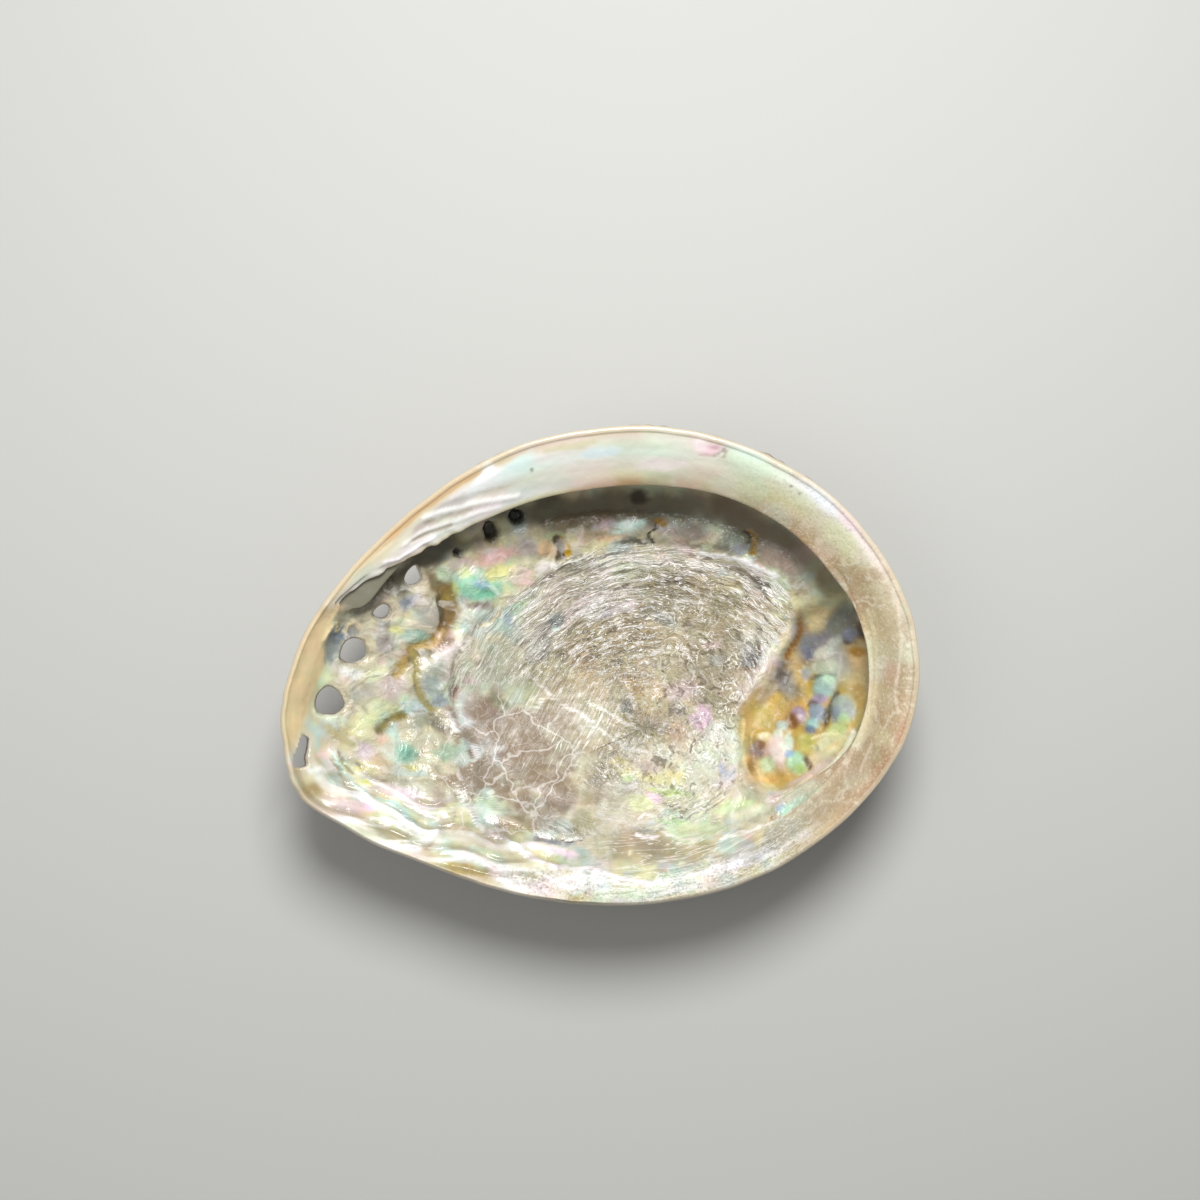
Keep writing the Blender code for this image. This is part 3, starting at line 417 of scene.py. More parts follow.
    (666, 537, 8, 4, 0, (200, 200, 180), 0.8, 0.2),
    (700, 545, 36, 4, -2, (120, 114, 102), 0.7, -0.2),
    (733, 543, 20, 13, -10, (138, 144, 130), 0.9, 0.5),
    (742, 548, 8, 8, 0, (150, 152, 164), 0.7, 0.1),
    (705, 545, 9, 5, 0, (196, 206, 176), 0.8, 0),
    (752, 553, 4, 4, 0, (196, 174, 92), 0.8, 0),
    (780, 560, 30, 12, -38, (184, 168, 156), 0.9, 0.2),
    (752, 568, 20, 6, -30, (240, 226, 224), 0.85, 0.2),
    (800, 588, 16, 9, -40, (176, 162, 140), 0.8, 0.2),
    # browner right side of the scar
    (708, 648, 44, 56, 0, (152, 138, 108), 0.55, 0),
    (690, 600, 70, 34, -14, (150, 138, 102), 0.6, 0),
    # brown edge by the second small hole, and the shaded floor under the tip of the shelf
    (434, 582, 14, 8, -45, (112, 94, 62), 0.8, -0.3),
    (352, 612, 24, 8, 30, (142, 140, 122), 0.85, 0),
)

PIT_PATCHES = (
    # amber ground with peach and olive
    (800, 700, 90, 130, 0, (180, 152, 88), 1.0, 0),
    (788, 702, 30, 22, 30, (176, 146, 74), 0.9, 0),
    (764, 716, 14, 16, 40, (178, 164, 98), 0.8, 0),
    (856, 672, 16, 34, -4, (208, 186, 142), 0.95, 0),
    (858, 652, 12, 6, -10, (176, 132, 60), 0.9, 0),
    (858, 696, 8, 14, 0, (184, 152, 92), 0.7, 0),
    (816, 616, 20, 24, 30, (204, 190, 148), 0.95, 0),
    (804, 636, 8, 12, 10, (176, 138, 68), 0.85, 0),
    (830, 600, 16, 9, 20, (196, 202, 172), 0.85, 0.2),
    # grey-green mass with its arms
    (848, 606, 16, 10, 55, (150, 152, 138), 0.9, 0.3),
    (840, 627, 30, 16, 50, (128, 130, 124), 0.95, 0.4),
    (817, 646, 23, 17, 20, (118, 120, 126), 0.95, 0.4),
    (833, 660, 20, 26, 10, (160, 162, 152), 0.95, 0.3),
    (808, 652, 9, 8, 0, (112, 114, 132), 0.9, 0.1),
    (824, 668, 20, 9, 10, (178, 184, 160), 0.9, 0.3),
    (824, 652, 12, 6, 20, (206, 212, 190), 0.7, 0.1),
    (806, 674, 7, 8, 0, (160, 166, 168), 0.8, 0.2),
    (822, 678, 14, 4.5, 6, (78, 78, 54), 0.9, -0.2),
    (838, 640, 10, 5, 40, (192, 194, 184), 0.6, 0.1),
    # slate ridge on the left
    (788, 628, 24, 19, -40, (112, 120, 122), 0.95, 0.5),
    (778, 646, 16, 12, 60, (150, 144, 128), 0.85, 0.3),
    (778, 670, 17, 36, 28, (98, 94, 92), 0.98, 0.6),
    (784, 656, 5, 12, 30, (164, 156, 144), 0.7, 0.2),
    (768, 692, 18, 6, 55, (172, 162, 142), 0.8, 0.1),
    (792, 660, 14, 10, 40, (172, 156, 120), 0.6, 0.1),
    # pearls and the ground round them, with dark marks of painted shadow beside the pearls
    (824, 689, 15, 12, 30, (150, 178, 170), 0.95, 0.3),
    (830, 680, 8, 6, 0, (186, 214, 190), 0.7, 0),
    (818, 700, 10, 5, 0, (150, 140, 168), 0.85, 0),
    (813, 704, 6, 5, 0, (86, 62, 54), 0.85, -0.3),
    (833, 702, 5, 16, -25, (74, 68, 50), 0.9, -0.3),
    (862, 632, 5, 10, 20, (58, 44, 24), 0.85, -0.2),
    (851, 635, 9, 8, 0, (134, 140, 156), 0.95, 0),
    (848, 641, 5, 4, 0, (82, 78, 100), 0.7, 0),
    (799, 715, 10, 10, 0, (166, 150, 164), 0.98, 0),
    (799, 718, 4, 3, 0, (222, 206, 206), 0.8, 0),
    (792, 722, 8, 9, -40, (134, 92, 46), 0.9, -0.2),
    (818, 712, 10, 11, 0, (144, 158, 172), 0.95, 0),
    (814, 725, 9, 7, 20, (156, 190, 182), 0.95, 0),
    (811, 731, 7, 5, 0, (104, 114, 150), 0.85, 0),
    (828, 716, 4, 14, -14, (80, 72, 54), 0.9, -0.3),
    (843, 709, 13, 17, 14, (158, 178, 168), 0.95, 0),
    (837, 716, 7, 13, 10, (136, 146, 160), 0.8, 0),
    (850, 712, 6, 10, 0, (150, 156, 158), 0.7, 0),
    (845, 720, 7, 6, 0, (176, 212, 160), 0.7, 0),
    (832, 742, 26, 12, 34, (204, 200, 160), 0.95, 0),
    (806, 742, 10, 12, 0, (186, 180, 108), 0.9, 0),
    (838, 728, 14, 7, 20, (196, 204, 140), 0.8, 0),
    (820, 757, 20, 7, 32, (214, 204, 172), 0.85, 0),
    (822, 768, 26, 8, 38, (206, 190, 176), 0.9, 0),
    (800, 783, 22, 7, 32, (198, 180, 172), 0.85, 0),
    (756, 768, 12, 16, 20, (208, 180, 124), 0.9, 0),
    (778, 780, 16, 6, 10, (184, 148, 82), 0.9, 0),
    (765, 782, 12, 6, -30, (226, 196, 136), 0.85, 0),
    (770, 788, 14, 5, -20, (200, 196, 150), 0.85, 0),
    (757, 750, 12, 11, 30, (134, 118, 112), 0.95, 0),
    (752, 764, 6, 12, -20, (146, 112, 64), 0.8, 0),
    (762, 745, 5, 7, 10, (126, 88, 48), 0.9, -0.2),
    (765, 737, 8, 5, 10, (220, 214, 184), 0.9, 0.4),
    (770, 741, 6, 5, 0, (206, 180, 130), 0.8, 0),
    (778, 735, 6, 9, 10, (196, 208, 184), 0.9, 0.2),
    (782, 726, 8, 7, 0, (170, 190, 180), 0.9, 0.2),
    (780, 752, 14, 20, 10, (214, 200, 196), 0.95, 0),
    (768, 765, 9, 9, 0, (190, 204, 170), 0.85, 0),
    (788, 744, 6, 12, 0, (206, 222, 206), 0.8, 0),
    (797, 762, 12, 12, 0, (162, 200, 164), 0.95, 0),
    (791, 755, 6, 5, 20, (140, 172, 200), 0.8, 0),
    (801, 769, 8, 6, 0, (158, 184, 110), 0.8, 0),
    # painted shadow to the right of the green pearl
    (809, 764, 4, 9, 15, (96, 74, 44), 0.9, -0.2),
)

# Lines on the floor, in view units: points, half-width, colour, strength and height in millimetres
FLOOR_LINES = (
    (((447, 588), (452, 600), (452, 614), (447, 627), (441, 637)), 7.5, (130, 106, 60), 0.9, -0.8),
    (((441, 598), (445, 612), (444, 624)), 4.0, (84, 70, 42), 0.8, -0.5),
    (((441, 636), (432, 643), (420, 647), (412, 652), (404, 662), (397, 672)),
     5.0, (176, 152, 94), 0.9, -0.7),
    (((452, 640), (436, 651), (420, 657), (408, 664)), 2.2, (112, 92, 52), 0.7, -0.4),
    (((446, 634), (436, 646), (424, 650)), 2.0, (214, 190, 150), 0.6, 0.1),
    (((416, 656), (415, 672), (417, 688), (423, 701), (433, 711)), 4, (160, 148, 98), 0.85, -0.6),
    (((381, 731), (386, 723), (394, 717), (405, 714)), 4.0, (142, 128, 74), 0.95, -0.7),
    (((447, 668), (444, 680), (438, 689)), 1, (232, 230, 226), 0.7, 0.2),
    (((514, 600), (500, 612), (484, 624), (470, 634), (464, 639)), 1.8, (120, 108, 84), 0.6, -0.4),
    (((522, 596), (508, 606), (494, 618), (480, 628)), 1.4, (222, 206, 168), 0.8, 0.3),
    (((452, 722), (455, 732), (465, 736), (473, 745), (477, 757), (474, 770), (468, 786), (466, 802)), 2.2,
     (240, 238, 234), 0.9, 0.5),
    (((474, 760), (468, 772), (462, 788), (462, 802)), 1.2, (222, 214, 204), 0.8, 0.25),
    (((478, 745), (482, 760), (477, 775)), 1.0, (214, 206, 196), 0.6, 0.2),
    (((456, 700), (462, 690), (470, 676), (474, 662)), 3.5, (196, 178, 162), 0.6, 0.1),
    # painted highlight along the top of the boulder
    (((408, 621), (420, 627), (434, 633), (441, 638)), 2.6, (250, 232, 214), 0.85, 0.2),
    (((377, 632), (384, 627), (390, 634), (391, 644), (385, 652)), 1.1, (206, 200, 194), 0.7, 0.2),
    (((386, 658), (396, 654), (406, 655)), 1.6, (222, 210, 202), 0.7, 0.2),
    (((388, 664), (392, 676), (388, 690), (386, 702)), 1.2, (206, 196, 192), 0.6, 0.2),
    (((402, 708), (410, 702), (418, 694)), 1.2, (222, 216, 210), 0.7, 0.2),
    (((412, 714), (424, 712), (436, 718)), 1.0, (120, 118, 104), 0.7, -0.1),
    (((400, 766), (408, 775), (414, 781), (426, 780), (438, 774), (452, 778), (462, 784)), 1.3,
     (232, 224, 204), 0.8, 0.25),
    (((424, 752), (434, 758), (446, 768), (462, 778)), 1.1, (222, 212, 186), 0.7, 0.2),
    (((357, 762), (364, 772), (373, 781), (382, 783), (388, 776)), 1.5, (150, 144, 130), 0.8, -0.3),
    (((338, 752), (344, 764), (352, 776)), 1.8, (168, 160, 140), 0.8, -0.3),
    (((332, 780), (334, 788), (334, 796)), 1.2, (236, 230, 214), 0.8, 0.2),
    # bright white lines on the pleats are painted highlights along their ridges, and the grey lines among
    # them painted shade in their grooves
    (((366, 795), (384, 806), (402, 820), (420, 832), (436, 836)), 2.4, (250, 250, 246), 0.8, 0.4),
    (((388, 803), (404, 818), (418, 826)), 1.2, (150, 150, 150), 0.7, -0.2),
    (((340, 820), (360, 820), (384, 820), (400, 824)), 2.2, (246, 242, 236), 0.85, 0.3),
    (((368, 843), (392, 841), (420, 842)), 1.6, (252, 252, 252), 0.8, 0.3),
    (((372, 848), (396, 848), (418, 851)), 1.2, (206, 200, 206), 0.7, -0.2),
    (((404, 800), (424, 806), (440, 806)), 2.2, (246, 238, 244), 0.8, 0.3),
    (((470, 812), (476, 824), (486, 832), (502, 838), (520, 850), (538, 862), (556, 868)), 3.0,
     (252, 248, 250), 0.95, 0.6),
    (((484, 822), (496, 824), (504, 830)), 3.0, (176, 182, 176), 0.8, -0.3),
    (((448, 826), (470, 832), (492, 842), (510, 852)), 1.8, (196, 178, 156), 0.7, -0.2),
    (((446, 806), (450, 814)), 1.0, (150, 190, 140), 0.6, 0),
    (((454, 804), (456, 816)), 1.0, (170, 200, 150), 0.6, 0),
    (((468, 802), (470, 814), (476, 822)), 1.3, (150, 166, 160), 0.7, -0.2),
    (((556, 868), (590, 868), (606, 874), (626, 880), (650, 884), (676, 880), (700, 872), (740, 862)), 2.6,
     (248, 244, 246), 0.8, 0.3),
    (((563, 838), (572, 841), (583, 840)), 1.2, (70, 56, 46), 0.9, -0.3),
    (((583, 840), (588, 848), (591, 856)), 1.0, (176, 180, 176), 0.6, -0.1),
    (((638, 836), (648, 838), (656, 837)), 1.6, (250, 248, 246), 0.85, 0.2),
    (((660, 832), (676, 838), (700, 840)), 1.3, (236, 234, 226), 0.7, 0.15),
    (((634, 828), (650, 832), (662, 830)), 2.2, (150, 152, 140), 0.7, -0.2),
    (((640, 820), (648, 815), (658, 818)), 1.2, (240, 240, 232), 0.7, 0.15),
    (((604, 822), (616, 816), (628, 824)), 1.2, (214, 214, 200), 0.6, 0.1),
    (((720, 840), (744, 832), (764, 826), (778, 820)), 1.5, (240, 238, 230), 0.8, 0.2),
    (((770, 854), (784, 845), (800, 838), (812, 826), (820, 820)), 1.6, (240, 234, 230), 0.8, 0.2),
    (((842, 800), (850, 788), (856, 776)), 1.6, (226, 208, 190), 0.7, 0.2),
    (((820, 802), (828, 792), (834, 782)), 1.3, (222, 216, 204), 0.7, 0.2),
    (((796, 808), (806, 814), (814, 810), (820, 800)), 1.4, (236, 236, 220), 0.8, 0.25),
    (((527, 672), (543, 688), (560, 702), (578, 714), (592, 722)), 1.3, (244, 240, 232), 0.9, 0.1),
    (((592, 726), (606, 734), (620, 744), (636, 748), (650, 754)), 1.3, (240, 236, 226), 0.7, 0.15),
    (((588, 702), (604, 712), (622, 722), (640, 730), (652, 737)), 1.2, (244, 240, 226), 0.9, 0.1),
    (((541, 698), (532, 712), (524, 728), (518, 740)), 1.4, (238, 236, 230), 0.85, 0.1),
    (((545, 700), (538, 714), (532, 726)), 0.8, (226, 222, 214), 0.7, 0),
    (((557, 712), (548, 728), (542, 740)), 0.8, (226, 222, 214), 0.6, 0),
    (((500, 706), (514, 718), (522, 728)), 1.1, (206, 200, 192), 0.7, 0),
    (((500, 792), (507, 794), (513, 790), (522, 787), (541, 790)), 1.2, (216, 208, 200), 0.8, 0.1),
    (((543, 778), (542, 796), (540, 814)), 1.0, (206, 196, 184), 0.75, 0.1),
    (((498, 810), (514, 812), (530, 816), (540, 812)), 1.0, (206, 198, 188), 0.6, 0.1),
    (((480, 774), (492, 778), (504, 786)), 1.0, (214, 208, 198), 0.7, 0.1),
    (((522, 742), (532, 752), (538, 760)), 1.2, (222, 214, 210), 0.6, 0.1),
    (((538, 768), (548, 773)), 2.0, (240, 230, 196), 0.9, 0.1),
    (((556, 814), (548, 826)), 2.0, (232, 226, 214), 0.85, 0.1),
    (((656, 524), (655, 530), (650, 536), (655, 542), (660, 545)), 1.3, (36, 30, 26), 0.95, -0.6),
    (((750, 532), (755, 538), (756, 546), (752, 553)), 2.6, (160, 124, 54), 0.95, -0.5),
    (((746, 530), (750, 536), (750, 544)), 1.3, (66, 58, 48), 0.8, -0.3),
    (((732, 536), (733, 544), (729, 550)), 0.9, (206, 208, 200), 0.7, 0),
    (((806, 572), (802, 578)), 1.1, (214, 212, 200), 0.7, 0),
    # painted highlight along the upper edge of the scar
    (((700, 552), (722, 555), (744, 561), (764, 570), (774, 578)), 2.4, (250, 246, 244), 0.9, 0.3),
    (((740, 590), (756, 598), (768, 605)), 1.6, (222, 216, 196), 0.85, 0.15),
    (((684, 576), (676, 582), (684, 588)), 1.6, (70, 60, 52), 0.9, -0.3),
    (((540, 640), (548, 622), (560, 606)), 1.2, (104, 104, 106), 0.6, -0.2),
    (((560, 572), (580, 562), (606, 554), (640, 551)), 1.6, (104, 96, 84), 0.7, -0.3),
    (((328, 642), (326, 656), (326, 668)), 1.0, (120, 120, 112), 0.5, -0.1),
    (((580, 553), (562, 566), (547, 580), (532, 592), (520, 602)), 1.5, (112, 104, 90), 0.7, -0.4),
    (((464, 642), (456, 660), (452, 684), (455, 704)), 1.4, (120, 108, 92), 0.6, -0.3),
    (((556, 540), (561, 547), (563, 556)), 4.0, (70, 54, 30), 0.95, -0.6),
    (((562, 541), (568, 548), (567, 557)), 2.4, (186, 150, 60), 0.9, -0.3),
    # painted highlights along the pleats, and one darker line of painted shade beside them
    (((331, 754), (341, 770), (352, 785), (368, 793), (385, 801), (400, 811), (415, 822)),
     1.8, (206, 236, 226), 0.8, 0.4),
    (((330, 758), (340, 774), (350, 788)), 1.4, (156, 152, 128), 0.7, -0.3),
    (((370, 844), (384, 846), (400, 848), (417, 849), (428, 842), (436, 834)),
     2.2, (250, 248, 250), 0.9, 0.4),
    (((348, 822), (366, 825), (386, 826)), 1.8, (248, 246, 246), 0.85, 0.3),
    (((465, 857), (480, 863), (494, 870), (506, 878), (518, 890)), 3.0, (252, 250, 250), 0.9, 0.4),
)

# Lines in the pit, in the same form
PIT_LINES = (
    (((810, 588), (800, 602), (799, 618), (800, 632), (794, 644), (786, 656)),
     3.2, (138, 96, 40), 0.92, -0.5),
    (((770, 604), (780, 608), (792, 606)), 1.3, (206, 200, 176), 0.7, 0.1),
    (((752, 612), (764, 622), (774, 632)), 1.2, (214, 204, 190), 0.7, 0),
    (((800, 672), (810, 660), (826, 658), (838, 652)), 1.2, (206, 202, 190), 0.5, 0.1),
    (((832, 640), (826, 650), (828, 660), (834, 672)), 1.0, (196, 192, 182), 0.5, 0.1),
    (((841, 652), (842, 664), (839, 680)), 1.4, (196, 184, 172), 0.5, 0.1),
    (((766, 688), (772, 676), (778, 664)), 1.0, (160, 156, 156), 0.7, 0.2),
    (((758, 700), (764, 690), (770, 678)), 1.2, (206, 202, 190), 0.7, 0.2),
    (((822, 752), (834, 744), (846, 738), (850, 728)), 1.6, (214, 190, 144), 0.7, 0.1),
    (((812, 738), (824, 734), (838, 734)), 1.2, (226, 222, 182), 0.7, 0.1),
    (((762, 790), (778, 792), (796, 786), (812, 776)), 1.3, (226, 214, 176), 0.7, 0.2),
    (((758, 770), (761, 782), (770, 790)), 1.2, (236, 216, 170), 0.6, 0.1),
    (((744, 720), (742, 744), (745, 764), (752, 780), (762, 790)), 1.8, (226, 206, 156), 0.8, 0.3),
    (((779, 802), (774, 808), (776, 814), (770, 819)), 2.6, (150, 106, 50), 0.95, -0.5),
)

# The torn notch by the margin and the seam along the shelf, laid over the rest, in the same forms
SEAM_LINES = (
    (((324, 640), (328, 632), (333, 626), (337, 624), (338, 632), (342, 629), (346, 632), (349, 626),
      (354, 622), (358, 623), (361, 628)), 1.5, (216, 200, 170), 0.9, 0.5),
    # dark line of painted shadow along the inner edge of the shelf
    (((780, 812), (792, 800), (806, 789), (824, 777), (840, 764), (852, 748), (860, 728)),
     2.6, (130, 132, 114), 0.6, -0.4),
    (((783, 812), (796, 803), (810, 793), (822, 785)), 3.8, (166, 238, 218), 0.95, 0.4),
    (((806, 790), (820, 777), (834, 764), (846, 749), (854, 732)), 2.6, (230, 228, 206), 0.85, 0.4),
    (((818, 802), (836, 788), (852, 770), (862, 748)), 1.8, (206, 196, 172), 0.7, 0.2),
    (((810, 802), (830, 790), (846, 774)), 1.6, (132, 124, 108), 0.7, -0.2),
)
SEAM_PATCHES = (
    (782, 808, 7, 5.5, 30, (120, 172, 232), 0.98, 0.2),
    (772, 818, 5, 2.5, 45, (156, 112, 56), 0.9, -0.1),
    (333, 648, 20, 8, 76, (138, 144, 142), 0.9, -0.4),
    (342, 636, 12, 7, 20, (120, 126, 134), 0.85, -0.3),
)

# Fine markings, in view units: middle, half-sizes and direction of the curved striations, middle and
# direction of the scratches, and the ovals where squiggles, scratches, cobweb, wear and frost show
ARCS_CENTRE = (645, 728)
ARCS_HALF = (172, 150)
ARCS_TURN = 24.0
SCRATCHES_CENTRE = (545, 765)
SCRATCHES_TURN = 62.0
SQUIGGLES_AT = ((722, 700, 34, 90, 0), (690, 765, 70, 34, 0), (705, 640, 50, 50, 0), (680, 690, 40, 40, 0))
SCRATCHES_AT = (560, 725, 85, 62, 30)
COBWEB_AT = (505, 765, 95, 88, 20)
WORN_AT = (612, 812, 60, 34, 0)
FROST_AT = ((700, 885, 90, 24, 12), (810, 835, 70, 40, 40), (560, 885, 70, 16, -8))

# Pearls grown in the pit, in view units: place, half-length, half-width, direction, height in millimetres
PEARLS = (
    (851.5, 637, 8.5, 7.5, 0, 1.6),
    (824, 662, 27, 19, 62, 1.7),
    (824, 687, 13, 11, 25, 2.2),
    (799, 716, 9.5, 9, 0, 2.0),
    (818, 712, 9, 10, 60, 1.8),
    (814, 725, 9, 8, 30, 1.9),
    (843, 709, 12.5, 17, 12, 2.4),
    (780, 754, 13, 24, 10, 2.2),
    (798, 762, 12, 12.5, 0, 2.4),
    (749.5, 655, 7.5, 11, -8, 1.0),
    (762, 740, 11, 10, 30, 1.5),
    (783, 728, 8, 8, 0, 1.2),
)

# Shelf colours from the rim to the inner edge, for six directions in degrees; the palest white and mint bands
# are partly painted highlight
SHELF_STOPS = (0.0, 0.05, 0.11, 0.22, 0.38, 0.55, 0.72, 0.83, 0.90, 0.97)
SHELF_COLOURS = (
    (-50.0, ((226, 206, 172), (196, 168, 128), (212, 192, 158), (204, 182, 150), (194, 180, 154),
             (200, 192, 170), (208, 200, 180), (214, 208, 184), (214, 210, 186), (196, 188, 162))),
    (0.0, ((236, 228, 208), (212, 194, 162), (222, 206, 176), (212, 194, 160), (200, 180, 146),
           (192, 172, 136), (208, 190, 150), (222, 204, 160), (232, 220, 184), (180, 150, 108))),
    (45.0, ((232, 226, 212), (206, 196, 182), (232, 228, 226), (224, 226, 206), (220, 220, 186),
            (206, 200, 156), (192, 178, 136), (184, 158, 118), (176, 146, 104), (216, 184, 142))),
    (92.0, ((226, 214, 190), (218, 204, 176), (222, 210, 196), (224, 228, 206), (232, 244, 228),
            (234, 230, 214), (214, 208, 176), (196, 174, 136), (182, 148, 108), (222, 190, 152))),
    (130.0, ((222, 210, 186), (196, 180, 148), (214, 200, 168), (236, 238, 236), (230, 242, 238),
             (214, 208, 192), (220, 216, 216), (244, 240, 244), (226, 212, 176), (196, 176, 132))),
    (155.0, ((228, 214, 190), (216, 190, 152), (222, 196, 154), (224, 210, 178), (232, 228, 206),
             (234, 228, 216), (238, 234, 226), (236, 228, 212), (226, 206, 168), (196, 172, 128))),
)

# Relief and colour of the shelf, in the same forms
SHELF_PATCHES = (
    (708, 449, 16, 9, 0, (244, 208, 216), 0.9, -0.2),
    (716, 446, 7, 4, 30, (206, 168, 176), 0.6, -0.1),
    (700, 446, 8, 7, 0, (250, 240, 240), 0.6, 0),
    (748, 452, 24, 8, -22, (214, 238, 236), 0.8, 0),
    (760, 466, 40, 9, -22, (222, 242, 214), 0.7, 0),
    (660, 465, 26, 8, 0, (240, 226, 226), 0.7, 0),
    (600, 453, 22, 6, 8, (222, 238, 242), 0.8, 0),
    (520, 464, 26, 8, 26, (216, 238, 232), 0.8, 0),
    (486, 476, 18, 8, 35, (246, 248, 250), 0.85, 0),
    (572, 446, 34, 5, 10, (206, 200, 162), 0.7, 0),
    # painted shade beside the white ledges at the left of the shelf
    (492, 492, 22, 4, 14, (204, 198, 182), 0.7, -0.2),
    (452, 505, 26, 6, 26, (188, 182, 176), 0.85, -0.2),
    (416, 545, 26, 6, 36, (238, 230, 226), 0.8, 0),
    (425, 527, 18, 6, 25, (196, 180, 176), 0.8, -0.2),
    (385, 553, 20, 5, 42, (232, 222, 190), 0.8, 0),
    (393, 535, 10, 3, 40, (226, 184, 134), 0.8, 0),
    (820, 497, 30, 8, -42, (236, 240, 246), 0.7, 0),
    (850, 522, 16, 7, -48, (240, 220, 228), 0.7, 0),
    (840, 540, 26, 12, -48, (222, 226, 182), 0.6, 0),
    (884, 555, 22, 6, -58, (236, 240, 244), 0.7, 0),
    (892, 640, 8, 26, 0, (196, 178, 142), 0.6, 0),
    (891, 672, 9, 14, 0, (194, 160, 130), 0.7, 0),
    (902, 735, 7, 18, -14, (188, 148, 116), 0.85, 0),
    (884, 768, 16, 20, -30, (166, 132, 98), 0.85, 0),
    (872, 790, 12, 14, -30, (172, 138, 106), 0.8, 0),
    (884, 738, 10, 12, 0, (206, 196, 156), 0.7, 0),
    (876, 755, 8, 14, 0, (176, 164, 128), 0.6, 0),
    (531, 469, 2.5, 2, 0, (120, 130, 100), 0.8, 0),
    (791, 486, 2, 2, 0, (130, 130, 110), 0.7, 0),
    (800, 494, 2, 2, 0, (130, 130, 110), 0.7, 0),
)
SHELF_LINES = (
    # white lines along the folds at the left of the shelf are painted highlights on their ledges, and the
    # grey-brown lines beside them painted shade
    (((424, 518), (440, 512), (460, 507), (480, 502), (500, 499), (518, 496)),
     2.6, (252, 250, 246), 0.85, 0.35),
    (((404, 545), (420, 533), (436, 527), (456, 521), (480, 512), (500, 507)),
     2.2, (250, 248, 244), 0.7, 0.25),
    (((412, 541), (432, 532), (452, 525)), 2.0, (176, 164, 144), 0.75, -0.25),
    (((428, 524), (446, 517), (470, 510)), 2.2, (186, 174, 158), 0.75, -0.2),
    (((384, 562), (398, 560), (416, 548), (436, 536)), 1.6, (252, 248, 252), 0.8, 0.25),
    (((360, 556), (380, 541), (396, 530), (410, 520), (424, 508), (440, 497), (460, 484), (478, 473)), 2.2,
     (206, 170, 122), 0.75, -0.2),
    (((352, 572), (370, 556), (392, 541)), 1.4, (226, 200, 160), 0.7, -0.1),
    (((714, 456), (722, 452), (726, 446)), 1.2, (160, 150, 136), 0.7, -0.2),
    (((700, 455), (712, 456)), 1.2, (206, 180, 176), 0.7, -0.1),
    (((722, 458), (728, 450)), 0.9, (170, 160, 140), 0.7, -0.1),
    (((898, 600), (901, 640), (899, 664), (894, 690), (898, 712)), 1.6, (232, 214, 190), 0.7, 0.15),
    (((868, 610), (875, 640), (876, 680), (872, 715)), 1.4, (228, 216, 178), 0.7, 0.2),
    (((834, 562), (850, 590), (862, 620)), 1.2, (166, 138, 98), 0.7, -0.15),
    (((838, 558), (848, 568), (858, 562)), 0.9, (226, 218, 190), 0.6, 0.1),
    (((907, 712), (896, 716), (893, 726)), 0.9, (206, 180, 150), 0.6, 0),
    (((860, 772), (866, 756), (872, 744)), 1.5, (226, 206, 190), 0.6, 0.15),
)


def smooth(value):
    """0 to 1 with flat ends."""
    clipped = np.clip(value, 0.0, 1.0)
    return clipped * clipped * (3.0 - 2.0 * clipped)


def hermite(low, high, slope_low, slope_high, span, t):
    """Value at t of a span between two values with given slopes."""
    return (
        (2 * t**3 - 3 * t**2 + 1) * low
        + (t**3 - 2 * t**2 + t) * span * slope_low
        + (3 * t**2 - 2 * t**3) * high
        + (t**3 - t**2) * span * slope_high
    )


def closed_curve(points, per_span):
    """Smooth closed curve through given points."""
    points = np.array(points, float)
    ahead = np.roll(points, -1, axis=0) - points
    chord = np.linalg.norm(ahead[:, :2], axis=1)[:, None]
    before = np.roll(chord, 1, axis=0)
    slope = ahead / chord
    tangent = (np.roll(slope, 1, axis=0) * chord + slope * before) / (chord + before)
    after = np.roll(points, -1, axis=0)
    tangent_after = np.roll(tangent, -1, axis=0)
    spans = []
    for t in np.arange(per_span) / per_span:
        spans.append(hermite(points, after, tangent, tangent_after, chord, t))
    return np.stack(spans, axis=1).reshape(-1, points.shape[1])


def around(table, angle):
    """Values of a table of directions, smoothly between its rows and right round the shell."""
    rows = np.array(table, float)
    place = np.radians(rows[:, 0])
    values = rows[:, 1:]
    place = np.concatenate([place - 2 * math.pi, place, place + 2 * math.pi])
    values = np.concatenate([values, values, values])
    slope = np.gradient(values, place, axis=0)
    wrapped = np.mod(angle + math.pi, 2 * math.pi) - math.pi
    row = np.clip(np.searchsorted(place, wrapped) - 1, 0, len(place) - 2)
    span = (place[row + 1] - place[row])[..., None]
    t = ((wrapped - place[row])[..., None]) / span
    return hermite(values[row], values[row + 1], slope[row], slope[row + 1], span, t)


def shelf_rows(angle):
    """Width, drop and fullness of the shelf."""
    rows = np.array(SHELF)
    degrees = np.degrees(angle)
    found = [np.interp(degrees, rows[:, 0], rows[:, item], period=360.0) for item in (1, 2, 3)]
    width, drop, fullness = found
    return width, drop, smooth(fullness)


def rim_at(angle):
    """Radius and height of the rim in each direction from the pole."""
    curve = closed_curve(RIM, 16)
    across = curve[:, :2] - np.array(POLE)
    direction = np.arctan2(across[:, 1], across[:, 0])
    order = np.argsort(direction)
    radius = np.hypot(across[:, 0], across[:, 1])
    turn = 2 * math.pi
    return (
        np.interp(angle, direction[order], radius[order], period=turn),
        np.interp(angle, direction[order], curve[order, 2], period=turn),
    )


